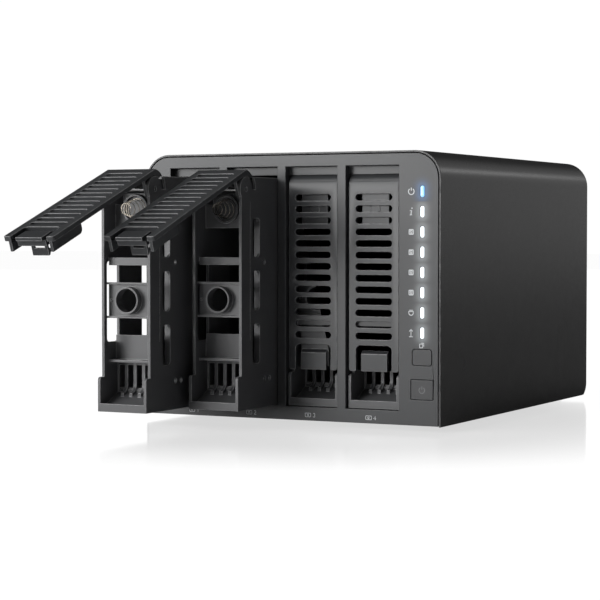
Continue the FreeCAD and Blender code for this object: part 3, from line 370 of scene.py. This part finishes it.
def lit_by_row(material, reach, white_light, first_light, strength, core=0.0):
    """Adds the row's light to a material as a glow of its own: on a lens that is the lamp's light, on the
    plastic round it a painted spill of light. White beside every lens but the first, which has its own. The
    core is how much darker the middle of a lens is than its rim."""
    sheet = material.node_tree
    shader = sheet.nodes["Principled BSDF"]
    spill = place(sheet, "ShaderNodeGroup", node_tree=row, Reach=reach)
    tint = place(sheet, "ShaderNodeMix", data_type="RGBA")
    sheet.links.new(spill.outputs["First"], tint.inputs["Factor"])
    tint.inputs["A"].default_value = (*white_light, 1)
    tint.inputs["B"].default_value = (*first_light, 1)
    glow = place(sheet, "ShaderNodeMix", data_type="RGBA", blend_type="MULTIPLY")
    glow.inputs["Factor"].default_value = 1.0
    sheet.links.new(tint.outputs["Result"], glow.inputs["A"])
    dimmed = reckon(sheet, "MULTIPLY_ADD", spill.outputs["Rim"], core, 1.0 - core)
    sheet.links.new(reckon(sheet, "MULTIPLY", spill.outputs["Spill"], dimmed), glow.inputs["B"])
    sheet.links.new(glow.outputs["Result"], shader.inputs["Emission Color"])
    shader.inputs["Emission Strength"].default_value = strength


bezel_grey = finished("satin bezel plastic", (0.050, 0.052, 0.055), 0.34, size=0.00028, depth=0.000009,
                      spread=0.08, mottle=0.14)
# The bezel plastic glows faintly round each lens: painted light spill.
lit_by_row(bezel_grey, 0.0038, (0.9, 0.97, 1.0), (0.10, 0.40, 1.0), 0.22)
# The bezel's bevelled edges are painted a little lighter, with lighter patches: painted highlight and wear.
bezel_edge = finished("bezel edge", (0.060, 0.062, 0.065), 0.28, size=0.00028, depth=0.000006, highlight_and_wear=0.3,
                      highlight_and_wear_colour=(0.14, 0.14, 0.145))
eased_edges("front_bezel", 0.00035, bezel_grey, bezel_edge)

# ------------------------------------------------------------------ light lenses
# Eight pill-shaped clear mouldings carry the light of small lamps on the board to the front. Each
# has a low dome and a bright core; the power light at the top is blue and the others are white.


def pill_outline(half_width, half_height, radius, count=12):
    """Points and outward directions round a rectangle with rounded corners: each corner's centre plus
    the radius times (cos, sin) of an angle that runs a quarter turn per corner."""
    turns = np.linspace(0, math.pi / 2, count)[None, :] + np.arange(4)[:, None] * math.pi / 2
    outward = np.stack([np.cos(turns), np.sin(turns)], -1)
    signs = np.array([[1, 1], [-1, 1], [-1, -1], [1, -1]])
    centres = signs * np.array([half_width - radius, half_height - radius])
    return (centres[:, None, :] + radius * outward).reshape(-1, 2), outward.reshape(-1, 2)


def stacked(outline, outward, profile):
    """A closed shape: for each pair (inset, depth) of the profile, the outline moved in by the inset
    against its outward directions and set at that depth. Returns rows of points (across, up, depth)."""
    profile = np.asarray(profile, float)
    flat = outline[None] - profile[:, None, :1] * outward[None]
    depth = np.broadcast_to(profile[:, 1:, None], flat.shape[:2] + (1,))
    return np.concatenate([flat, depth], -1)


def facing_front(rows, across, face, up):
    """Turns (across, up, depth) into the frame, with depth running back from a face that looks forward."""
    return np.stack([rows[..., 0] + across, rows[..., 2] + face, rows[..., 1] + up], -1)


CREASE = math.radians(35)


def made_piece(name, grids, material, body, stands_for=()):
    """One mesh from closed tubes. In each grid the points of a row are joined in a ring, the rows are
    joined in turn, and the first and last rows are filled. Faces are then turned outwards."""
    points, faces, start = [], [], 0
    for grid in grids:
        rows, count = grid.shape[:2]
        index = np.arange(rows * count).reshape(rows, count) + start
        after = np.roll(index, -1, axis=1)
        quads = np.stack([index[:-1], after[:-1], after[1:], index[1:]], -1).reshape(-1, 4)
        faces += quads.tolist() + [index[0, ::-1].tolist(), index[-1].tolist()]
        points.append(grid.reshape(-1, 3))
        start += rows * count
    mesh = bpy.data.meshes.new(name)
    mesh.from_pydata(np.concatenate(points).tolist(), [], faces)
    form = bmesh.new()
    form.from_mesh(mesh)
    bmesh.ops.recalc_face_normals(form, faces=form.faces)
    for face in form.faces:
        face.smooth = True
    for edge in form.edges:
        edge.smooth = not (edge.is_manifold and edge.calc_face_angle(0) > CREASE)
    form.to_mesh(mesh)
    form.free()
    mesh.materials.append(material)
    piece = bpy.data.objects.new(name, mesh)
    bpy.context.scene.collection.objects.link(piece)
    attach(piece, body)
    if stands_for:
        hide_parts(*stands_for)
    return piece


# Each pair is how far the dome's outline is moved in, in millimetres, and its depth in metres.
lens_clear = finished("clear lens", (0.80, 0.86, 0.92), 0.18, size=0.0009, depth=0.000006, spread=0.05)
lit_by_row(lens_clear, 0.0030, (0.90, 0.97, 1.0), (0.02, 0.42, 0.90), 1.15, core=0.62)
LENS_DOME = [(1.05, -0.00022), (0.85, -0.0002), (0.5, -0.00014), (0.25, -0.00006), (0.08, 0.00004),
             (0.0, 0.0002), (0.0, 0.0072)]
outline, outward = pill_outline(0.00125, 0.0034, 0.00125)
made_piece("light_lenses", [
    facing_front(stacked(outline, outward, [(inset * 0.001, depth) for inset, depth in LENS_DOME]),
                 LENS_ACROSS, BEZEL_FACE, LENS_TOP - LENS_PITCH * number) for number in range(LENS_COUNT)],
    lens_clear, "chassis", stands_for=("light_pipes",))

# ------------------------------------------------------------------ printed marks
# Plain symbols and bay numbers printed in pale grey ink: on, information, four drives, the network
# and an arrow beside the lights, two sheets over the copy button, and a number under each bay. The
# outlines are in millimetres.
ink = finished("pale printed ink", (0.78, 0.80, 0.82), 0.5, size=0.0002, depth=0.000003, mottle=0.2)
MARK_ACROSS = LENS_ACROSS - 0.0072
INK = ((0, -0.00004), (0, 0.0001))


def stroke_outline(path, half_width):
    """The two edges of a stroke: each point of the path moved sideways by the half width to the left,
    going out, and to the right, coming back."""
    path = np.asarray(path, float)
    ahead = np.gradient(path, axis=0)
    side = np.stack([-ahead[:, 1], ahead[:, 0]], -1) / np.linalg.norm(ahead, axis=1)[:, None]
    return np.concatenate([path + half_width * side, (path - half_width * side)[::-1]])


def arc(radius, start, end, across=0.0, up=0.0, count=28):
    """Points on part of a circle, from one angle in degrees to another."""
    turns = np.radians(np.linspace(start, end, count))
    return np.stack([across + radius * np.cos(turns), up + radius * np.sin(turns)], -1)


def inked(shapes, across, up, scale=0.001):
    """Flat outlines in millimetres as thin raised ink on the bezel's face."""
    still = np.zeros_like
    return [facing_front(stacked(np.asarray(shape) * scale, still(shape), INK), across, BEZEL_FACE, up)
            for shape in shapes]


def line(x0, y0, x1, y1, half_width):
    """The outline of a straight stroke."""
    return stroke_outline(np.linspace((x0, y0), (x1, y1), 3), half_width)


def framed(half_width, half_height, radius, half_stroke, across=0.0, up=0.0):
    """The outline of a rounded frame, cut open at one place so that it is a single stroke."""
    points, _ = pill_outline(half_width, half_height, radius, 6)
    ring = np.concatenate([points, points[:1]]) + (across, up)
    return stroke_outline(ring + 1e-6 * np.arange(len(ring))[:, None], half_stroke)


power_mark = [stroke_outline(arc(1.85, 125, 415), 0.27), line(0, 0.45, 0, 2.35, 0.27)]
information_mark = [line(-0.2, -1.9, 0.3, 0.8, 0.36), line(-0.9, 0.7, 0.35, 0.7, 0.26),
                    line(-0.95, -1.9, 0.55, -1.9, 0.26), pill_outline(0.45, 0.45, 0.44, 5)[0] + (0.5, 2.1)]
drive_mark = [framed(1.35, 1.4, 0.35, 0.3), stroke_outline(arc(0.6, 0, 350, 0, 0.35), 0.25),
              line(-0.8, -0.8, 0.8, -0.8, 0.22)]
network_mark = [stroke_outline(arc(1.5, 165, 375), 0.27), line(-1.75, 0.75, 1.75, 0.75, 0.27),
                line(-1.2, 1.5, 1.2, 1.5, 0.24)]
arrow_mark = [line(0, -2.3, 0, 1.6, 0.26), stroke_outline([(-1.1, 0.9), (0, 2.2), (1.1, 0.9)], 0.26),
              line(-1.3, -2.3, 1.3, -2.3, 0.26)]
sheets_mark = [framed(1.0, 1.1, 0.2, 0.2, -0.55, -0.25), line(-0.35, 1.4, 1.2, 1.4, 0.2),
               line(1.2, 1.4, 1.2, -0.7, 0.2)]
marks = []
for number, mark in enumerate([power_mark, information_mark, *[drive_mark] * 4, network_mark, arrow_mark]):
    marks += inked(mark, MARK_ACROSS, LENS_TOP - LENS_PITCH * number)
copy_low, copy_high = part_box("copy_button")
marks += inked(sheets_mark, (copy_low.x + copy_high.x) / 2, copy_high.z + 0.0026)
made_piece("printed_marks", marks, ink, "chassis")

NUMERALS = {
    "1": [[(-0.55, 0.75), (0.1, 1.2), (0.1, -1.2)]],
    "2": [np.concatenate([arc(0.62, 165, -35, 0, 0.58, 14), [(-0.68, -1.2), (0.75, -1.2)]])],
    "3": [arc(0.58, 150, -75, 0, 0.6, 14), arc(0.66, 80, -150, 0, -0.55, 14)],
    "4": [[(0.3, -1.2), (0.3, 1.2), (-0.8, -0.45), (0.85, -0.45)]],
}
BAYS = (1, 2, 3, 4)
numbers = []
for bay in BAYS:
    low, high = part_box(f"tray_frame_{bay}")
    label = [framed(1.9, 1.15, 0.3, 0.13, -2.2, 0), stroke_outline(arc(0.55, 0, 350, -2.2, 0), 0.12)]
    label += [stroke_outline(np.asarray(path, float) + (2.0, 0), 0.15) for path in NUMERALS[str(bay)]]
    numbers += inked(label, (low.x + high.x) / 2, 0.0070)
made_piece("bay_numbers", numbers, ink, "chassis")

# ------------------------------------------------------------------ buttons
# Two push buttons of the bezel's plastic, flush with it in narrow gaps: copy above, power below,
# the lower one with the on symbol moulded in it as a shallow, slightly glossier line, painted a lighter grey
# as a painted sheen. Their edges take the bezel's lighter edge, a painted highlight with wear.
button_grey = finished("satin button plastic", (0.046, 0.047, 0.050), 0.34, size=0.00026, depth=0.000008)
eased_edges("copy_button", 0.0003, button_grey, bezel_edge)
eased_edges("power_button", 0.0003, button_grey, bezel_edge)
# The moulded symbol's lighter grey is a painted sheen.
symbol_painted_sheen = finished("moulded symbol painted sheen", (0.20, 0.203, 0.208), 0.28, size=0.0003, depth=0.000004)
low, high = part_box("power_button")
made_piece("power_symbol", inked(power_mark, (low.x + high.x) / 2, (low.z + high.z) / 2 - 0.0002),
           symbol_painted_sheen, "power_button")

# ------------------------------------------------------------------ drive trays
# Four mouldings in satin black plastic: two long walls with windows, a pocket at the foot, a grille
# that curves into it, a round boss in a cross plate and a header with the spring's seat.


def dressed(material, *nodes):
    """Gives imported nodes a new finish."""
    for node in nodes:
        frame["nodes"][node].data.materials.clear()
        frame["nodes"][node].data.materials.append(material)


tray_black = finished("satin tray plastic", (0.100, 0.101, 0.105), 0.34, size=0.00032, depth=0.00001,
                      spread=0.10, mottle=0.12)
# The trays' bevelled edges are painted lighter than the walls: painted highlight and wear.
tray_edge = finished("tray edge", (0.20, 0.20, 0.205), 0.28, size=0.0003, depth=0.000006, highlight_and_wear=0.7,
                     highlight_and_wear_colour=(0.34, 0.34, 0.345))
for bay in BAYS:
    eased_edges(f"tray_frame_{bay}", 0.0003, tray_black, tray_edge)
pin_steel = finished("ground pin steel", (0.60, 0.60, 0.60), 0.25, size=0.0006, depth=0.000003, metallic=1.0)
dressed(pin_steel, *[f"hinge_pin_{bay}" for bay in BAYS])

# ------------------------------------------------------------------ handle springs
# A conical coil of plated wire in each header pushes the handle open. It is wide at its seat and
# narrow at the handle; the two behind the shut handles are pressed short.
WIRE = 0.00024
COIL_TIP = 0.0034
COIL_TURNS = 4.5
OPEN_BAYS = (1, 2)


def coil(node, turns):
    """A wire along a cone's helix: the centre runs at radius R(t) and angle 2 pi turns t while it goes
    from the seat to the tip, the first and last turns lying flat, and the wire's own circle is carried
    square to it. t goes from 0 to 1 in equal steps."""
    low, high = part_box(node)
    middle = (low + high) / 2
    t = np.linspace(0, 1, int(40 * turns))
    wide, narrow = (high.x - low.x) / 2 - WIRE, COIL_TIP - WIRE
    radius = wide + (narrow - wide) * t
    angle = 2 * math.pi * turns * t
    rise = np.clip((t - 0.5 / turns) / (1 - 1.0 / turns), 0, 1)
    depth = (high.y - WIRE) - rise * (high.y - low.y - 2 * WIRE)
    centre = np.stack([middle.x + radius * np.cos(angle), depth, middle.z + radius * np.sin(angle)], -1)
    ahead = np.gradient(centre, axis=0)
    ahead /= np.linalg.norm(ahead, axis=1)[:, None]
    out = np.stack([np.cos(angle), np.zeros_like(t), np.sin(angle)], -1)
    out -= (out * ahead).sum(1)[:, None] * ahead
    out /= np.linalg.norm(out, axis=1)[:, None]
    side = np.cross(ahead, out)
    around = np.linspace(0, 2 * math.pi, 10, endpoint=False)[None, :, None]
    return centre[:, None] + WIRE * (np.cos(around) * out[:, None] + np.sin(around) * side[:, None])


spring_wire = finished("plated spring wire", (0.30, 0.27, 0.23), 0.24, size=0.0004, depth=0.000002,
                       metallic=1.0)
for bay in BAYS:
    low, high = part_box(f"handle_spring_{bay}")
    spring = made_piece(f"spring_coil_{bay}", [coil(f"handle_spring_{bay}", COIL_TURNS)], spring_wire,
                        f"tray_{bay}", stands_for=(f"handle_spring_{bay}",))
    if bay in OPEN_BAYS:
        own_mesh(spring)

# ------------------------------------------------------------------ handles and latches
# Each handle is a thin satin plate with thirteen slots and a rolled top on a hinge pin, and carries a
# sliding catch with a square finger tile and a hook behind. The edges are painted lighter: partly rubbed by
# hands, partly a painted highlight.
handle_grey = finished("satin handle plastic", (0.052, 0.054, 0.057), 0.33, size=0.00028, depth=0.000008,
                       spread=0.08, mottle=0.12)
handle_edge = finished("handle edge", (0.12, 0.12, 0.125), 0.26, size=0.0003, depth=0.000005, highlight_and_wear=0.7,
                       highlight_and_wear_colour=(0.30, 0.30, 0.305))
latch_grey = finished("satin latch plastic", (0.040, 0.042, 0.045), 0.35, size=0.00024, depth=0.000007)
for bay in BAYS:
    eased_edges(f"handle_{bay}", 0.00034, handle_grey, handle_edge)
    eased_edges(f"latch_{bay}", 0.0003, latch_grey, handle_edge)

# ------------------------------------------------------------------ steel inside
# The base, the drive cage and the rear panel are pressed from steel sheet painted matt black, and
# the screws and the posts under the cage are bright zinc, with brass posts under the main board.
painted_steel = finished("painted steel", (0.014, 0.014, 0.015), 0.48, size=0.0005, depth=0.000012,
                         spread=0.12, mottle=0.25)
dressed(painted_steel, "base_chassis", "cage_floor", "cage_roof", "cage_walls")
eased_edges("rear_panel", 0.00012, painted_steel, segments=1)
zinc = finished("bright zinc", (0.55, 0.56, 0.58), 0.30, size=0.0007, depth=0.000006, spread=0.2, mottle=0.3,
                metallic=1.0)
dressed(zinc, "cover_screws", "fan_screws", "board_screws", "cage_posts")
brass = finished("turned brass", (0.74, 0.56, 0.26), 0.28, size=0.0004, depth=0.000004, metallic=1.0)
dressed(brass, "board_standoffs")
rubber = finished("foot rubber", (0.018, 0.018, 0.018), 0.75, size=0.0004, depth=0.00003, spread=0.15,
                  mottle=0.3)
eased_edges("feet", 0.0005, rubber, segments=3)

# ------------------------------------------------------------------ plastic and boards inside
# Rails, sockets and switches are plain black mouldings; the boards are green solder mask over
# copper tracks with gold dots where the tracks pass through.
black_mould = finished("black moulding", (0.016, 0.016, 0.017), 0.42, size=0.0004, depth=0.00001, mottle=0.2)
dressed(black_mould, "guide_rails", "drive_connectors", "board_connector", "button_switches", "memory_socket",
        "reset_switch", "reset_button", "dc_jack")

tracks, given, made = node_group("board tracks", {"Scale": 260.0}, {"Track": "Float", "Dot": "Float"})
spot = place(tracks, "ShaderNodeTexCoord").outputs["Object"]
cells = place(tracks, "ShaderNodeTexVoronoi", feature="F1", distance="CHEBYCHEV")
tracks.links.new(spot, cells.inputs["Vector"])
tracks.links.new(given["Scale"], cells.inputs["Scale"])
ridges = reckon(tracks, "PINGPONG", reckon(tracks, "MULTIPLY", cells.outputs["Distance"], 5.0), 0.5)
tracks.links.new(eased(tracks, ridges, 0.24, 0.32), made["Track"])
holes = place(tracks, "ShaderNodeTexVoronoi", feature="F1", distance="EUCLIDEAN")
tracks.links.new(spot, holes.inputs["Vector"])
tracks.links.new(given["Scale"], holes.inputs["Scale"])
tracks.links.new(eased(tracks, holes.outputs["Distance"], 0.13, 0.09), made["Dot"])

board_green = finished("green board", (0.010, 0.075, 0.042), 0.34, size=0.0006, depth=0.000006)
sheet = board_green.node_tree
shader = sheet.nodes["Principled BSDF"]
mesh_of_tracks = place(sheet, "ShaderNodeGroup", node_tree=tracks, Scale=260.0)
over_copper = place(sheet, "ShaderNodeMix", data_type="RGBA")
over_copper.inputs["A"].default_value = (0.010, 0.075, 0.042, 1)
over_copper.inputs["B"].default_value = (0.020, 0.135, 0.070, 1)
sheet.links.new(mesh_of_tracks.outputs["Track"], over_copper.inputs["Factor"])
with_dots = place(sheet, "ShaderNodeMix", data_type="RGBA")
with_dots.inputs["B"].default_value = (0.62, 0.48, 0.20, 1)
sheet.links.new(mesh_of_tracks.outputs["Dot"], with_dots.inputs["Factor"])
sheet.links.new(over_copper.outputs["Result"], with_dots.inputs["A"])
sheet.links.new(with_dots.outputs["Result"], shader.inputs["Base Color"])
sheet.links.new(mesh_of_tracks.outputs["Dot"], shader.inputs["Metallic"])
dressed(board_green, "mainboard", "backplane_board", "light_board", "memory_module")
chip_black = finished("chip resin", (0.022, 0.022, 0.023), 0.5, size=0.0002, depth=0.000008, mottle=0.25)
dressed(chip_black, "processor")
sink_alloy = finished("ribbed alloy", (0.60, 0.61, 0.63), 0.34, size=0.0003, depth=0.000006, spread=0.15,
                      metallic=1.0)
dressed(sink_alloy, "heatsink")
led_resin = finished("lamp resin", (0.85, 0.88, 0.80), 0.3, size=0.0004, depth=0.000004)
dressed(led_resin, "indicator_leds")

# ------------------------------------------------------------------ parts on the boards
# Chips with chamfered tops and standing capacitors with crimped sleeves are soldered to the main
# board, and smaller ones to the board behind the drives.


def rounded_block(half_width, half_height, radius, tall, chamfer):
    """A low block: a rounded rectangle that steps in by the chamfer as it nears its top."""
    outline, outward = pill_outline(half_width, half_height, radius, 4)
    return stacked(outline, outward, [(0, 0), (0, tall - chamfer), (chamfer, tall)])


def can(radius, tall):
    """A capacitor: a circle carried up a profile with a crimp near the foot and a rounded shoulder."""
    outline, outward = pill_outline(radius, radius, radius * 0.999, 8)
    return stacked(outline, outward, [
        (0.0002, 0), (0, 0.0003), (0, 0.0011), (0.0004, 0.0015), (0.0004, 0.0018), (0, 0.0022),
        (0, tall - 0.0005), (0.0003, tall - 0.0001), (0.0008, tall)])


def facing_right(rows, face, deep, up):
    """Turns (across, up, height) into the frame, standing out to the right of a face."""
    return np.stack([face + rows[..., 2], deep + rows[..., 0], up + rows[..., 1]], -1)


def facing_forward(rows, across, face, up):
    """Turns (across, up, height) into the frame, standing out to the front of a face."""
    return np.stack([across + rows[..., 0], face - rows[..., 2], up + rows[..., 1]], -1)


# Each chip is half its width and height, then how far back and how high its middle is.
board_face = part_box("mainboard")[1].x
chips = [facing_right(rounded_block(wide, high, 0.0004, 0.0014, 0.0003), board_face, deep, up)
         for wide, high, deep, up in ((0.007, 0.007, 0.020, 0.060), (0.005, 0.008, 0.110, 0.105),
                                      (0.005, 0.008, 0.125, 0.105), (0.006, 0.004, 0.030, 0.110),
                                      (0.004, 0.004, 0.185, 0.080), (0.006, 0.006, 0.185, 0.055),
                                      (0.003, 0.005, 0.000, 0.095), (0.003, 0.003, 0.145, 0.125))]
backplane_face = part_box("backplane_board")[0].y
chips += [facing_forward(rounded_block(0.004, 0.004, 0.0004, 0.0014, 0.0003), across, backplane_face, up)
          for across, up in ((-0.040, 0.118), (0.000, 0.118), (0.042, 0.118), (-0.046, 0.040),
                             (0.036, 0.040))]
made_piece("board_chips", chips, chip_black, "chassis")
cans = [facing_right(can(0.0032, 0.0085), board_face, deep, up)
        for deep, up in ((0.010, 0.128), (0.020, 0.128), (0.030, 0.128), (0.172, 0.030), (0.182, 0.030),
                         (0.192, 0.120), (0.050, 0.030), (0.060, 0.030))]
cans += [facing_forward(can(0.0026, 0.0055), across, backplane_face, up)
         for across, up in ((-0.052, 0.132), (-0.032, 0.132), (0.010, 0.132), (0.030, 0.132), (0.052, 0.030))]
sleeve = finished("capacitor sleeve", (0.030, 0.032, 0.045), 0.3, size=0.0005, depth=0.000004)
made_piece("board_capacitors", cans, sleeve, "chassis")

# ------------------------------------------------------------------ rear ports
# The network and data sockets are folded from plated sheet, with gold springs inside the network
# socket's mouth and flat gold fingers on the data sockets' tongues.
plated = finished("plated shell", (0.62, 0.62, 0.61), 0.26, size=0.0006, depth=0.000004, spread=0.14,
                  metallic=1.0)
dressed(plated, "lan_port", "usb_ports")
gold = finished("gold contact", (0.83, 0.62, 0.25), 0.22, size=0.0003, depth=0.000002, metallic=1.0)
lan_low, lan_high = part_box("lan_port")
usb_low, usb_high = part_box("usb_ports")
contacts = []
for number in range(8):
    up = (lan_low.z + lan_high.z) / 2 + (number - 3.5) * 0.00102
    contacts.append(facing_forward(rounded_block(0.0008, 0.00018, 0.0001, 0.0075, 0.0001),
                                   lan_low.x + 0.0032, lan_high.y - 0.0015, up))
for shelf in (0.0038, 0.0116):
    for number in range(4):
        up = (usb_low.z + usb_high.z) / 2 + (number - 1.5) * 0.0025
        contacts.append(facing_forward(rounded_block(0.00012, 0.0005, 0.0001, 0.0075, 0.00005),
                                       usb_low.x + shelf, usb_high.y - 0.0022, up))
made_piece("port_contacts", contacts, gold, "chassis")

# ------------------------------------------------------------------ fan
# A seven-bladed fan in a square black frame, its copper windings inside the hub, blowing out through
# a bright wire guard. The blades are cambered, twisted towards their tips and swept forward.
dressed(black_mould, "fan_frame")
winding = finished("lacquered winding", (0.55, 0.24, 0.09), 0.3, size=0.0003, depth=0.00004, metallic=0.8)
dressed(winding, "fan_stator")
guard_wire = finished("bright guard wire", (0.70, 0.70, 0.71), 0.22, size=0.0007, depth=0.000003,
                      metallic=1.0)
dressed(guard_wire, "fan_guard")

fan_low, fan_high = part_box("fan_rotor")
stator_low, stator_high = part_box("fan_stator")
FAN_ACROSS = (stator_low.x + stator_high.x) / 2
FAN_UP = (stator_low.z + stator_high.z) / 2
HUB = 0.0185
REACH = 0.0428
BLADES = 7


def blade(turn):
    """A blade: at radius r its section is a closed lens of chord c(r), drawn at a pitch that falls from
    root to tip and bowed by a camber; the section's middle is turned about the axis by a sweep that
    grows with r. The angle round the axis is the section's width over r."""
    share = np.linspace(0, 1, 12)[:, None]
    r = (HUB - 0.0006) + share * (REACH - HUB + 0.0006)
    round_it = np.linspace(0, 2 * math.pi, 28, endpoint=False)[None]
    chord = 0.0185 + 0.004 * share
    pitch = np.radians(44 - 14 * share)
    u = 0.5 * np.cos(round_it)
    thick = 0.00085 * np.sin(round_it) * np.sqrt(np.clip(1 - np.abs(2 * u) ** 3, 0, 1))
    bow = 0.12 * chord * (0.25 - u * u) * 4
    along, off = u * chord, thick + bow * 0.5
    width = along * np.cos(pitch) - off * np.sin(pitch)
    deep = along * np.sin(pitch) + off * np.cos(pitch)
    angle = turn + 0.30 * share * share + width / r
    middle = (fan_low.y + fan_high.y) / 2 - 0.0022
    return np.stack([FAN_ACROSS + r * np.cos(angle), middle + deep, FAN_UP + r * np.sin(angle)], -1)


def round_about(profile, count=64):
    """A turned shape: each (radius, depth) of the profile carried once round the fan's axis."""
    turns = np.linspace(0, 2 * math.pi, count, endpoint=False)[None]
    profile = np.asarray(profile, float)
    radius, deep = profile[:, :1], profile[:, 1:]
    across, up = FAN_ACROSS + radius * np.cos(turns), FAN_UP + radius * np.sin(turns)
    return np.stack([across, deep + 0 * turns, up], -1)


front = fan_low.y
rim = stator_high.y - 0.001
hub = round_about([(0.0030, front), (0.0150, front), (0.0172, front + 0.0004), (HUB, front + 0.0018),
                   (HUB, rim), (HUB - 0.0017, rim), (HUB - 0.0017, front + 0.0019), (0.0030, front + 0.0019)])
axle = round_about([(0.0010, front + 0.0012), (0.0015, front + 0.0014), (0.0015, fan_high.y - 0.0004),
                    (0.0011, fan_high.y)], 24)
fan_black = finished("fan blade plastic", (0.020, 0.020, 0.021), 0.30, size=0.0004, depth=0.000005,
                     highlight_and_wear=0.4)
blades = [blade(2 * math.pi * number / BLADES) for number in range(BLADES)]
made_piece("fan_blades", [hub, axle] + blades, fan_black, "fan_rotor",
           stands_for=("fan_rotor",))
